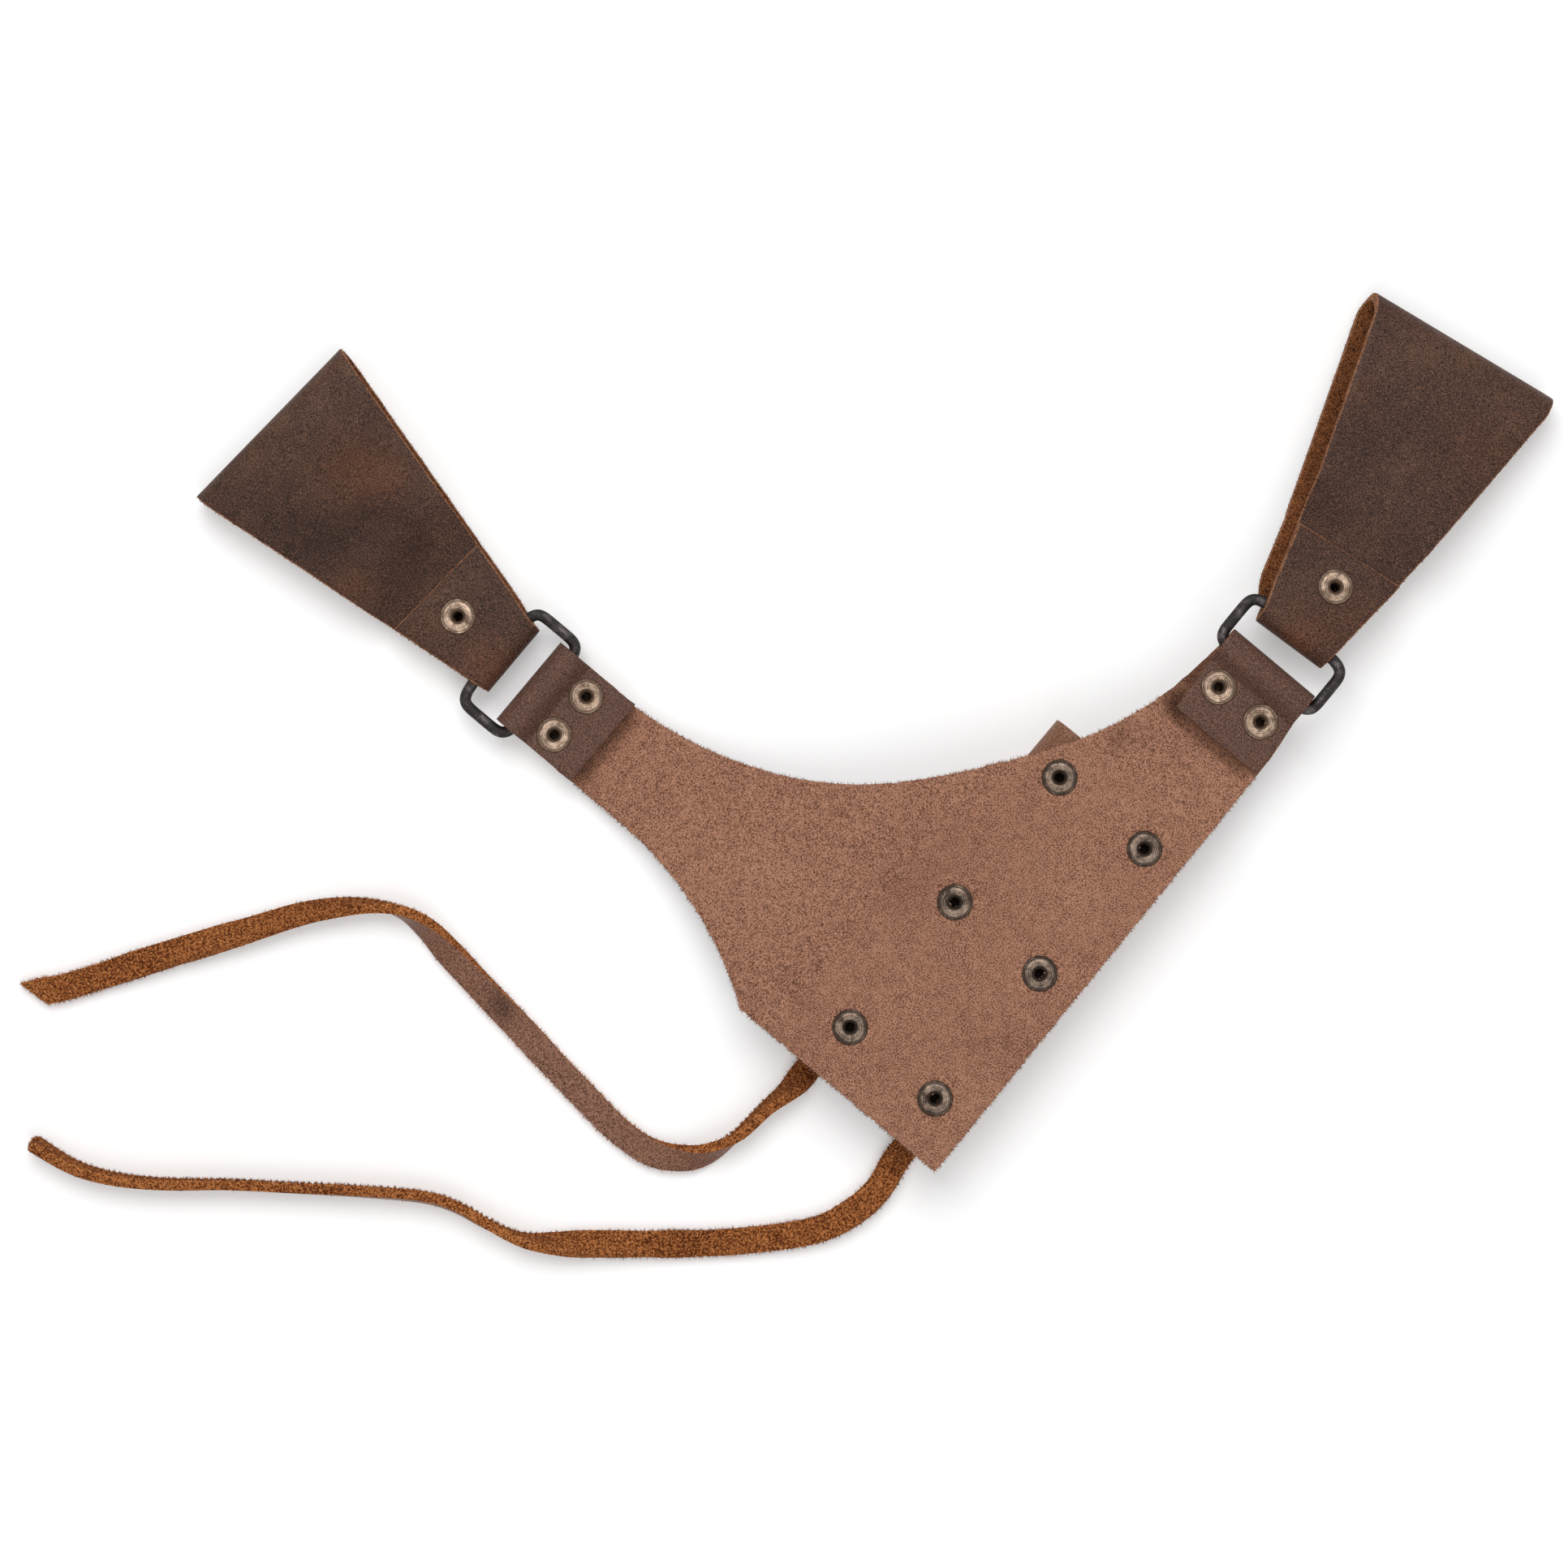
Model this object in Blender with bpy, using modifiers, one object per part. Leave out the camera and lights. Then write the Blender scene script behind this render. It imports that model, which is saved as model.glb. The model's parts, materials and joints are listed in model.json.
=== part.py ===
"""Leather sword frog with two belt loops on rings, lying face down; metres, +Z up."""

import math

import bmesh
import bpy
from mathutils import Vector

MM = 0.001

# Leather and the clearance left between touching pieces
LEATHER = 2.3 * MM
GAP = 0.3 * MM

# Rings: oval of round wire, long way across the strap
WIRE = 2.9 * MM
RING_SIDE = 1.8 * MM
RING_HALF_HEIGHT = 7.7 * MM
RING_SQUARENESS = 6.0
RING_PLAY = 0.8 * MM

# Rivets: hollow flanged post and domed cap
FLANGE_RADIUS = 4.5 * MM
FLANGE_HEIGHT = 0.9 * MM
POST_RADIUS = 1.9 * MM
POST_HOLE = 1.25 * MM
CAP_RADIUS = 4.4 * MM
CAP_HEIGHT = 2.0 * MM
RIVET_STEPS = 20

# Sleeve: a flat tube along Y under the panel
SLEEVE_X = 100.6 * MM
SLEEVE_Y = -70.0 * MM
SLEEVE_LENGTH = 105.0 * MM
SLEEVE_SHIFT = -0.3 * MM
SLEEVE_SIDE = 9.45 * MM
SLEEVE_INSIDE = 8.6 * MM
WING_MARGIN = 5.0 * MM
COLUMN_SPACING = 27.9 * MM
ROW_INSET = 11.5 * MM

# Lace: flat thong, its holes in the wings and its rows along the sleeve
LACE_WIDTH = 6.7 * MM
LACE_THICK = 2.6 * MM
LACE_PLAY = 0.9 * MM
LACE_GAP = 0.5 * MM
LACE_COLUMN_INSET = 9.0 * MM
LACE_TOP_INSET = 14.5 * MM
LACE_FOOT_INSET = 18.5 * MM
LACE_FEET = {-1: 14.6 * MM, 1: 17.4 * MM}
LACE_FOOT_END = -55.6 * MM
LACE_CROSS = 1.7 * MM
FLOOR_GAP = 0.0 * MM

# Back panel outline
PANEL_BOTTOM = -125.2 * MM
PANEL_LEFT = 62.6 * MM
PANEL_RIGHT = 126.4 * MM
UPPER_ARC_X = -14.4 * MM
UPPER_ARC_Y = 26.2 * MM
UPPER_ARC_RADIUS = 110.6 * MM
UPPER_SWELL = 3.6 * MM
UPPER_SWELL_AT = math.radians(-36)
UPPER_SWELL_SPREAD = math.radians(17)
UPPER_ARC_END = 16.0 * MM
LOWER_ARC_START = 10.0 * MM
ARC_STEPS = 28

# Arms and the hems that hold the rings
LEFT_ARM_CENTRE = -96.4 * MM
LEFT_ARM_WIDTH = 25.4 * MM
LEFT_FOLD_EDGE = -32.0 * MM
RIGHT_ARM_CENTRE = 109.7 * MM
RIGHT_ARM_WIDTH = 26.4 * MM
RIGHT_FOLD_EDGE = 28.2 * MM
HEM_LENGTH = 24.6 * MM
HEM_RIVET_INSET = 13.8 * MM
HEM_RIVET_EDGE = 6.35 * MM
LEFT_DRAPE = (74.0 * MM, -4.0 * MM)
RIGHT_DRAPE = (-18.0 * MM, 4.0 * MM)
RIGHT_DROP = 5.0 * MM
DRAPE_CUTS = 12

# Belt loops, measured from the edge that faces the ring
LEFT_LOOP_LENGTH = 86.4 * MM
RIGHT_LOOP_LENGTH = 88.2 * MM
LEFT_LOOP_SHIFT = -1.0 * MM
RIGHT_LOOP_SHIFT = 0.5 * MM
LEFT_BACK_SHIFT = -0.6 * MM
RIGHT_BACK_SHIFT = 2.0 * MM
BACK_SHIFT_RUN = 20.0 * MM
LOOP_END_WIDTH = 20.0 * MM
LOOP_FOLD_WIDTH = 53.0 * MM
LOOP_TAB = 27.2 * MM
LOOP_RIVET = 17.6 * MM
LOOP_INSIDE = 6.4 * MM
LOOP_LEAN_RUN = 30.0 * MM
LEFT_SKEW = math.radians(-4.2)
RIGHT_SKEW = math.radians(8.3)
RIGHT_RING_PITCH = math.radians(8.0)

# Free lace ends on the floor: plan position in mm, then the turn of the thong from flat in degrees
LEFT_LACE_ROUTE = (
    (86.0, -125.9, 0),
    (86.0, -128.4, 0),
    (85.9, -131.4, 20),
    (85.4, -135.4, 50),
    (84.3, -141.0, 72),
    (83.2, -150.9, 88),
    (80.2, -159.6, 122),
    (75.6, -164.9, 154),
    (68.6, -168.7, 174),
    (59.0, -170.0, 180),
    (46.7, -168.2, 180),
    (34.4, -166.6, 180),
    (22.7, -165.0, 178),
    (9.7, -163.5, 170),
    (-2.6, -161.9, 150),
    (-11.3, -161.1, 124),
    (-18.8, -162.4, 100),
    (-25.5, -165.9, 82),
    (-31.9, -171.6, 58),
    (-38.6, -179.6, 30),
    (-46.6, -192.0, 8),
    (-58.2, -209.6, 0),
    (-67.5, -224.6, 0),
    (-74.6, -235.0, 0),
    (-81.2, -240.6, 0),
)
RIGHT_LACE_ROUTE = (
    (118.0, -125.9, 0),
    (118.0, -128.4, 0),
    (118.5, -132.4, 10),
    (119.4, -137.5, 18),
    (118.9, -144.5, 16),
    (116.0, -153.3, 10),
    (110.8, -160.9, 5),
    (99.5, -172.9, 0),
    (87.1, -184.0, 2),
    (74.3, -194.6, 14),
    (64.9, -202.2, 36),
    (57.6, -206.9, 58),
    (48.6, -209.4, 72),
    (39.7, -211.2, 76),
    (31.5, -214.8, 74),
    (18.1, -224.2, 70),
    (4.9, -234.2, 68),
    (-8.4, -244.3, 66),
    (-20.6, -254.3, 66),
    (-31.2, -261.5, 64),
    (-41.5, -266.0, 60),
    (-54.2, -268.0, 54),
)

HALF_LEATHER = LEATHER / 2
PLY = LEATHER + GAP
RING_HALF_WIDTH = max(LEFT_ARM_WIDTH, RIGHT_ARM_WIDTH) / 2 + RING_SIDE

# Columns and rows of rivets and lace slots, from the sleeve's middle
SLEEVE_HALF_WIDTH = COLUMN_SPACING / 2 + SLEEVE_SIDE
LACE_COLUMN = SLEEVE_HALF_WIDTH - LACE_COLUMN_INSET
WING_EDGE = LACE_COLUMN - WING_MARGIN
ROW_SPACING = SLEEVE_LENGTH / 2 - ROW_INSET
LACE_TOP = SLEEVE_LENGTH / 2 - LACE_TOP_INSET
LACE_FOOT = LACE_FOOT_INSET - SLEEVE_LENGTH / 2
LACE_ROWS = (LACE_TOP, (LACE_TOP + LACE_FOOT) / 2, LACE_FOOT)


def ring_reach(across):
    """How far the ring's centre-line lies from its middle, at a distance across the strap."""
    return RING_HALF_HEIGHT * (1 - (across / RING_HALF_WIDTH) ** RING_SQUARENESS) ** (1 / RING_SQUARENESS)


# Hinge lines run midway between the ring's straightest and most bent part inside each strap
HEM_BEND = RING_HALF_HEIGHT - ring_reach(max(LEFT_ARM_WIDTH, RIGHT_ARM_WIDTH) / 2)
LOOP_SIDE_REACH = LOOP_END_WIDTH / 2 + max(abs(LEFT_LOOP_SHIFT), abs(RIGHT_LOOP_SHIFT))
LOOP_BEND = RING_HALF_HEIGHT - ring_reach(LOOP_SIDE_REACH)
HEM_AXIS_REACH = RING_HALF_HEIGHT - HEM_BEND / 2
LOOP_AXIS_REACH = RING_HALF_HEIGHT - LOOP_BEND / 2
HEM_TURN = (WIRE + HEM_BEND + RING_PLAY + LEATHER) / 2
LOOP_TURN = (WIRE + LOOP_BEND + RING_PLAY + LEATHER) / 2

# Heights of the middle of each leather layer, from the floor up
WING_LEVEL = FLOOR_GAP + LACE_THICK + LACE_GAP + HALF_LEATHER
SLEEVE_BACK_LEVEL = WING_LEVEL + LEATHER + SLEEVE_INSIDE
PANEL_LEVEL = SLEEVE_BACK_LEVEL + PLY
LEFT_ARM_LEVEL = FLOOR_GAP + CAP_HEIGHT + GAP + HALF_LEATHER
RIGHT_ARM_LEVEL = PANEL_LEVEL - RIGHT_DROP


def clear_scene():
    for obj in list(bpy.data.objects):
        bpy.data.objects.remove(obj)


def collection(name):
    made = bpy.data.collections.new(name)
    bpy.context.scene.collection.children.link(made)
    return made


def material(name, colour, roughness, metallic=0.0):
    made = bpy.data.materials.new(name)
    made.use_nodes = True
    shader = made.node_tree.nodes["Principled BSDF"]
    shader.inputs["Base Color"].default_value = (*colour, 1)
    shader.inputs["Roughness"].default_value = roughness
    shader.inputs["Metallic"].default_value = metallic
    return made


clear_scene()
PARTS = collection("sword_frog")
CUTTERS = collection("cutters")
FLESH = material("panel_leather", (0.34, 0.17, 0.11), 0.9)
GRAIN = material("loop_leather", (0.07, 0.04, 0.03), 0.55)
THONG = material("lace_leather", (0.26, 0.09, 0.03), 0.8)
BRASS = material("rivet_brass", (0.42, 0.33, 0.2), 0.4, 1.0)
STEEL = material("ring_steel", (0.08, 0.075, 0.075), 0.4, 1.0)


def place(obj, look, parent=None):
    PARTS.objects.link(obj)
    obj.data.materials.append(look)
    obj.parent = parent
    return obj


def frame(name, location, rotation, parent=None):
    """Empty that carries a group of pieces: local X runs outward along the strap and local Z up."""
    empty = bpy.data.objects.new(name, None)
    empty.empty_display_size = 0.01
    empty.location = location
    empty.rotation_euler = rotation
    empty.parent = parent
    PARTS.objects.link(empty)
    return empty


def finish_sheet(obj, thickness=LEATHER):
    """Leather thickness, centred on the modelled surface."""
    solid = obj.modifiers.new("thickness", "SOLIDIFY")
    solid.thickness = thickness
    solid.offset = 0
    solid.use_even_offset = True
    return obj


def cutter(name, parent, location, radius, height):
    mesh = bpy.data.meshes.new(name)
    shape = bmesh.new()
    bmesh.ops.create_cone(
        shape, cap_ends=True, segments=RIVET_STEPS, radius1=radius, radius2=radius, depth=height
    )
    shape.to_mesh(mesh)
    shape.free()
    obj = bpy.data.objects.new(name, mesh)
    obj.location = location
    obj.parent = parent
    obj.hide_render = True
    obj.display_type = "WIRE"
    CUTTERS.objects.link(obj)
    return obj


def slot_cutter(name, location):
    """Box for one lace slot, long along the sleeve."""
    mesh = bpy.data.meshes.new(name)
    shape = bmesh.new()
    bmesh.ops.create_cube(shape, size=1)
    size = (LACE_THICK + 2 * LACE_PLAY, LACE_WIDTH + 2 * LACE_PLAY, 3 * LEATHER)
    bmesh.ops.scale(shape, vec=size, verts=shape.verts)
    shape.to_mesh(mesh)
    shape.free()
    obj = bpy.data.objects.new(name, mesh)
    obj.location = location
    obj.hide_render = True
    obj.display_type = "WIRE"
    CUTTERS.objects.link(obj)
    return obj


def drill(obj, tool):
    cut = obj.modifiers.new(tool.name, "BOOLEAN")
    cut.operation = "DIFFERENCE"
    cut.solver = "EXACT"
    cut.object = tool


def strip(name, stations, look, parent=None, thickness=LEATHER):
    """Sheet through a list of (centre, half-width vector), each extruded from the one before."""
    shape = bmesh.new()
    centre, half = stations[0]
    edge = shape.edges.new((shape.verts.new(centre - half), shape.verts.new(centre + half)))
    for centre, half in stations[1:]:
        edge = extrude_edge(shape, edge, centre, half)
    bmesh.ops.recalc_face_normals(shape, faces=shape.faces)
    mesh = bpy.data.meshes.new(name)
    shape.to_mesh(mesh)
    shape.free()
    return finish_sheet(place(bpy.data.objects.new(name, mesh), look, parent), thickness)


def extrude_edge(shape, edge, centre, half):
    made = bmesh.ops.extrude_edge_only(shape, edges=[edge])["geom"]
    new_edge = [item for item in made if isinstance(item, bmesh.types.BMEdge)][0]
    low, high = new_edge.verts
    if (high.co - low.co).dot(half) < 0:
        low, high = high, low
    low.co = centre - half
    high.co = centre + half
    return new_edge


def turn(centre, radius, start, end, steps):
    """Points of an arc in the strap's X-Z plane, angles in degrees."""
    angles = [math.radians(start + (end - start) * i / steps) for i in range(steps + 1)]
    return [(centre[0] + radius * math.cos(a), centre[1] + radius * math.sin(a)) for a in angles]


def slope(start, end, steps):
    """Points of a smooth step from start to end, leaving out the start."""
    points = []
    for i in range(1, steps + 1):
        t = i / steps
        s = t * t * (3 - 2 * t)
        points.append((start[0] + (end[0] - start[0]) * t, start[1] + (end[1] - start[1]) * s))
    return points


def smooth_step(value, start, end):
    t = min(max((value - start) / (end - start), 0), 1)
    return t * t * (3 - 2 * t)


def panel_height(x, y):
    left = smooth_step(x, *LEFT_DRAPE)
    right = smooth_step(y, *RIGHT_DRAPE)
    return PANEL_LEVEL - (PANEL_LEVEL - LEFT_ARM_LEVEL) * left - RIGHT_DROP * right


LEFT_HINGE_X = LEFT_FOLD_EDGE + HEM_TURN + HALF_LEATHER
RIGHT_HINGE_Y = RIGHT_FOLD_EDGE - HEM_TURN - HALF_LEATHER


def panel_outline():
    """Corner points round the panel, each arm ending where its hem starts to turn."""
    left_low = LEFT_ARM_CENTRE - LEFT_ARM_WIDTH / 2
    left_high = LEFT_ARM_CENTRE + LEFT_ARM_WIDTH / 2
    right_low = RIGHT_ARM_CENTRE - RIGHT_ARM_WIDTH / 2
    right_high = RIGHT_ARM_CENTRE + RIGHT_ARM_WIDTH / 2
    points = [(LEFT_HINGE_X, left_high), (LEFT_HINGE_X, left_low)]
    run = PANEL_LEFT - LOWER_ARC_START
    drop = left_low - PANEL_BOTTOM
    radius = (run * run + drop * drop) / (2 * drop)
    reach = math.asin(run / radius)
    for i in range(ARC_STEPS // 2 + 1):
        angle = reach * i / (ARC_STEPS // 2)
        points.append((LOWER_ARC_START + radius * math.sin(angle), left_low - radius * (1 - math.cos(angle))))
    points += [(PANEL_RIGHT, PANEL_BOTTOM), (right_high, RIGHT_DRAPE[0])]
    points += [(right_high, RIGHT_HINGE_Y), (right_low, RIGHT_HINGE_Y)]
    centre, radius = Vector((UPPER_ARC_X, UPPER_ARC_Y)), UPPER_ARC_RADIUS
    end = math.asin((UPPER_ARC_END - centre.y) / radius)
    for i in range(ARC_STEPS + 1):
        angle = end + (-math.pi / 2 - end) * i / ARC_STEPS
        reach = radius - UPPER_SWELL * math.exp(-(((angle - UPPER_SWELL_AT) / UPPER_SWELL_SPREAD) ** 2))
        points.append((centre.x + reach * math.cos(angle), centre.y + reach * math.sin(angle)))
    return points


def panel_sheet():
    """The panel's plan filled from its outline and cut across each arm, so that it can drape."""
    curve = bpy.data.curves.new("panel_outline", "CURVE")
    curve.dimensions = "2D"
    curve.fill_mode = "BOTH"
    spline = curve.splines.new("POLY")
    outline = panel_outline()
    spline.points.add(len(outline) - 1)
    for point, (x, y) in zip(spline.points, outline):
        point.co = (x, y, 0, 1)
    spline.use_cyclic_u = True
    guide = bpy.data.objects.new("panel_outline", curve)
    CUTTERS.objects.link(guide)
    guide.hide_render = True
    guide.display_type = "WIRE"
    mesh = bpy.data.meshes.new_from_object(guide)
    shape = bmesh.new()
    shape.from_mesh(mesh)
    bpy.data.meshes.remove(mesh)
    bmesh.ops.remove_doubles(shape, verts=shape.verts, dist=0.01 * MM)
    bmesh.ops.dissolve_limit(shape, angle_limit=0.01, verts=shape.verts, edges=shape.edges)
    for i in range(DRAPE_CUTS + 1):
        x = LEFT_DRAPE[0] + (LEFT_DRAPE[1] - LEFT_DRAPE[0]) * i / DRAPE_CUTS
        cut_across(shape, (x, 0, 0), (1, 0, 0))
    for i in range(DRAPE_CUTS // 2 + 1):
        y = RIGHT_DRAPE[0] + (RIGHT_DRAPE[1] - RIGHT_DRAPE[0]) * i / (DRAPE_CUTS // 2)
        cut_across(shape, (0, y, 0), (0, 1, 0))
    for vert in shape.verts:
        vert.co.z = panel_height(vert.co.x, vert.co.y)
    bmesh.ops.recalc_face_normals(shape, faces=shape.faces)
    return shape


def cut_across(shape, point, normal):
    everything = list(shape.verts) + list(shape.edges) + list(shape.faces)
    bmesh.ops.bisect_plane(shape, geom=everything, plane_co=point, plane_no=normal, dist=0.001 * MM)


def hem_path():
    """Middle of the hem from the end of the arm, round the ring and back over the arm."""
    top = 2 * HEM_TURN
    flat = HEM_RIVET_INSET - HEM_TURN - HALF_LEATHER - FLANGE_RADIUS - GAP
    points = turn((0, HEM_TURN), HEM_TURN, -90, 90, 8)[1:]
    points.append((-0.9 * MM, top))
    points += slope(points[-1], (-flat, PLY), 5)
    points.append((-(HEM_LENGTH - HEM_TURN - HALF_LEATHER), PLY))
    return points


def end_edge(shape, axis, value):
    """The outline edge that lies on one coordinate."""
    for edge in shape.edges:
        if edge.is_boundary and all(abs(vert.co[axis] - value) < 0.01 * MM for vert in edge.verts):
            return edge
    raise ValueError("the arm has no end edge")


def make_panel():
    shape = panel_sheet()
    edge = end_edge(shape, 0, LEFT_HINGE_X)
    half = Vector((0, LEFT_ARM_WIDTH / 2, 0))
    for out, rise in hem_path():
        centre = Vector((LEFT_HINGE_X - out, LEFT_ARM_CENTRE, LEFT_ARM_LEVEL + rise))
        edge = extrude_edge(shape, edge, centre, half)
    edge = end_edge(shape, 1, RIGHT_HINGE_Y)
    half = Vector((RIGHT_ARM_WIDTH / 2, 0, 0))
    for out, rise in hem_path():
        centre = Vector((RIGHT_ARM_CENTRE, RIGHT_HINGE_Y + out, RIGHT_ARM_LEVEL + rise))
        edge = extrude_edge(shape, edge, centre, half)
    bmesh.ops.recalc_face_normals(shape, faces=shape.faces)
    mesh = bpy.data.meshes.new("back_panel")
    shape.to_mesh(mesh)
    shape.free()
    return finish_sheet(place(bpy.data.objects.new("back_panel", mesh), FLESH))


def make_sleeve():
    """Flat tube with its mouth towards the floor, rolled at both sides."""
    radius = (SLEEVE_INSIDE + LEATHER) / 2
    middle = (WING_LEVEL + SLEEVE_BACK_LEVEL) / 2
    roll = SLEEVE_HALF_WIDTH - radius - HALF_LEATHER
    path = [(-WING_EDGE, WING_LEVEL)]
    path += turn((-roll, middle), radius, 270, 90, 10)
    path += turn((roll, middle), radius, 90, -90, 10)
    path.append((WING_EDGE, WING_LEVEL))
    half = Vector((0, SLEEVE_LENGTH / 2, 0))
    stations = [(Vector((SLEEVE_X + x, SLEEVE_Y + SLEEVE_SHIFT, z)), half) for x, z in path]
    return strip("scabbard_sleeve", stations, GRAIN)


def turned(name, profile, look, parent, location):
    """Round piece from (radius, height) points, closed along the axis or round a hole."""
    shape = bmesh.new()
    verts = [shape.verts.new((radius, 0, height)) for radius, height in profile]
    for first, second in zip(verts, verts[1:] + verts[:1]):
        shape.edges.new((first, second))
    mesh = bpy.data.meshes.new(name)
    shape.to_mesh(mesh)
    shape.free()
    obj = place(bpy.data.objects.new(name, mesh), look, parent)
    obj.location = location
    spin = obj.modifiers.new("turn", "SCREW")
    spin.steps = RIVET_STEPS
    spin.render_steps = RIVET_STEPS
    spin.use_merge_vertices = True
    spin.merge_threshold = 0.00001
    spin.use_smooth_shade = False
    return obj


def rivet(name, parent, x, y, top, grip):
    """Post with its flange over the leather and cap under it; top is the leather's upper face."""
    reach = grip + 2 * GAP
    post = [
        (FLANGE_RADIUS, GAP + FLANGE_HEIGHT * 0.35),
        (FLANGE_RADIUS, GAP),
        (POST_RADIUS, GAP),
        (POST_RADIUS, -reach - CAP_HEIGHT * 0.25),
        (POST_HOLE, -reach - CAP_HEIGHT * 0.25),
        (POST_HOLE, GAP + FLANGE_HEIGHT * 0.6),
        (POST_HOLE + 0.7 * MM, GAP + FLANGE_HEIGHT),
        (FLANGE_RADIUS * 0.72, GAP + FLANGE_HEIGHT * 0.85),
    ]
    turned(name + "_post", post, BRASS, parent, (x, y, top))
    bottom = -grip - GAP
    socket = POST_RADIUS + GAP / 3
    depth = -reach - CAP_HEIGHT * 0.25 - GAP / 3
    low = bottom - CAP_HEIGHT
    cap = [
        (socket, bottom),
        (CAP_RADIUS, bottom),
        (CAP_RADIUS * 0.95, bottom - CAP_HEIGHT * 0.45),
        (CAP_RADIUS * 0.7, bottom - CAP_HEIGHT * 0.85),
        (CAP_RADIUS * 0.35, low),
        (0, low),
        (0, depth),
        (socket, depth),
    ]
    turned(name + "_cap", cap, BRASS, parent, (x, y, top))
    return cutter(name + "_hole", parent, (x, y, top - grip / 2), POST_RADIUS + GAP / 2, grip + 4 * MM)


def make_ring(name, parent):
    """Oval ring in the local X-Y plane, its middle one reach out from the hem's hinge line."""
    curve = bpy.data.curves.new(name, "CURVE")
    curve.dimensions = "3D"
    curve.bevel_depth = WIRE / 2
    curve.bevel_resolution = 2
    spline = curve.splines.new("POLY")
    count = 40
    spline.points.add(count - 1)
    for i, point in enumerate(spline.points):
        angle = 2 * math.pi * i / count
        c, s = math.cos(angle), math.sin(angle)
        power = 2 / RING_SQUARENESS
        x = HEM_AXIS_REACH + RING_HALF_HEIGHT * math.copysign(abs(c) ** power, c)
        y = RING_HALF_WIDTH * math.copysign(abs(s) ** power, s)
        point.co = (x, y, 0, 1)
    spline.use_cyclic_u = True
    return place(bpy.data.objects.new(name, curve), STEEL, parent)


LOOP_EDGE = -(LOOP_TURN + HALF_LEATHER)
LOOP_FOLD_TURN = (LOOP_INSIDE + LEATHER) / 2


def loop_fold(length):
    """Middle of the wide fold's turn, out from the hinge."""
    return LOOP_EDGE + length - LOOP_FOLD_TURN - HALF_LEATHER


def loop_station(out, rise, length, skew, aside):
    """Centre and half-width of the loop's strip: it widens outward and turns gently sideways."""
    along = max(out, 0)
    share = (out - LOOP_EDGE) / length
    half = (LOOP_END_WIDTH + (LOOP_FOLD_WIDTH - LOOP_END_WIDTH) * share) / 2
    lean = skew * smooth_step(along, 0, LOOP_LEAN_RUN)
    centre = Vector((out, aside + out * math.tan(lean), rise))
    return centre, Vector((-math.sin(lean), math.cos(lean), 0)) * half


def make_loop(name, parent, length, skew, shift, back_shift):
    """One strip: tab over the rivet, round the ring, out along the back, round the wide fold and back in."""
    radius = LOOP_FOLD_TURN
    fold = loop_fold(length)
    back = -PLY
    grip_start = LOOP_EDGE + LOOP_RIVET - FLANGE_RADIUS - 1.6 * MM
    tab_end = LOOP_EDGE + LOOP_TAB
    flat_start = tab_end + 16 * MM
    tab = [(tab_end, PLY), (grip_start, PLY)]
    tab += slope((grip_start, PLY), (0.6 * MM, LOOP_TURN), 4)
    tab += turn((0, 0), LOOP_TURN, 90, 270, 8)
    back_leg = slope((0, -LOOP_TURN), (grip_start, back), 3)
    back_leg += slope((grip_start, back), (tab_end, back), 2)
    fold_turn = turn((fold, back + radius), radius, -90, 90, 8)
    front = slope((fold, back + 2 * radius), (flat_start, back + 2 * radius), 1)
    front += slope((flat_start, back + 2 * radius), (tab_end + 1 * MM, 0), 5)
    front.append((grip_start - 1 * MM, 0))
    stations = [loop_station(out, rise, length, skew, shift) for out, rise in tab]
    for out, rise in back_leg:
        aside = shift + back_shift * smooth_step(out, 0, BACK_SHIFT_RUN)
        stations.append(loop_station(out, rise, length, skew, aside))
    for i, (out, rise) in enumerate(fold_turn):
        aside = shift + back_shift * (1 - i / (len(fold_turn) - 1))
        stations.append(loop_station(out, rise, length, skew, aside))
    stations += [loop_station(out, rise, length, skew, shift) for out, rise in front]
    return strip(name, stations, GRAIN, parent)


def loop_rivet(side, parent, loop, shift):
    grip = 3 * LEATHER + 2 * GAP
    tool = rivet(side + "_loop_rivet", parent, LOOP_EDGE + LOOP_RIVET, shift, PLY + HALF_LEATHER, grip)
    drill(loop, tool)


def loop_pitch(height, length, skew):
    """Pitch that lays the far fold's outer corner on the floor from a hinge at this height."""
    reach = loop_fold(length) + abs(math.sin(skew)) * LOOP_FOLD_WIDTH / 2
    return math.asin((height - PLY - HALF_LEATHER - FLOOR_GAP) / reach)


def make_hanger(side, hinge, heading, ring_pitch, length, skew, shift, back_shift):
    """Ring and belt loop of one arm, each on an empty that stands on its hinge line."""
    ring_frame = frame(side + "_ring_hinge", hinge, (0, ring_pitch, heading))
    make_ring(side + "_ring", ring_frame)
    reach = HEM_AXIS_REACH + LOOP_AXIS_REACH
    height = hinge.z - reach * math.sin(ring_pitch)
    pitch = loop_pitch(height, length, skew) - ring_pitch
    loop_frame = frame(side + "_loop_hinge", (reach, 0, 0), (0, pitch, 0), ring_frame)
    loop = make_loop(side + "_belt_loop", loop_frame, length, skew, shift, back_shift)
    loop_rivet(side, loop_frame, loop, shift)


def lace_strip(name, points, turns):
    """Flat thong along points; turns are measured from lying flat, about the thong's own run."""
    stations = []
    side = Vector((0, 0, 0))
    for i, (point, angle) in enumerate(zip(points, turns)):
        ahead = Vector(points[min(i + 1, len(points) - 1)]) - Vector(points[max(i - 1, 0)])
        across = Vector((-ahead.y, ahead.x, 0))
        if across.length > 0.3 * ahead.length:
            side = across.normalized() if across.dot(side) >= 0 else -across.normalized()
        half = (side * math.cos(angle) + Vector((0, 0, 1)) * math.sin(angle)) * (LACE_WIDTH / 2)
        stations.append((Vector(point), half))
    return strip(name, stations, THONG, None, LACE_THICK)


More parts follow.
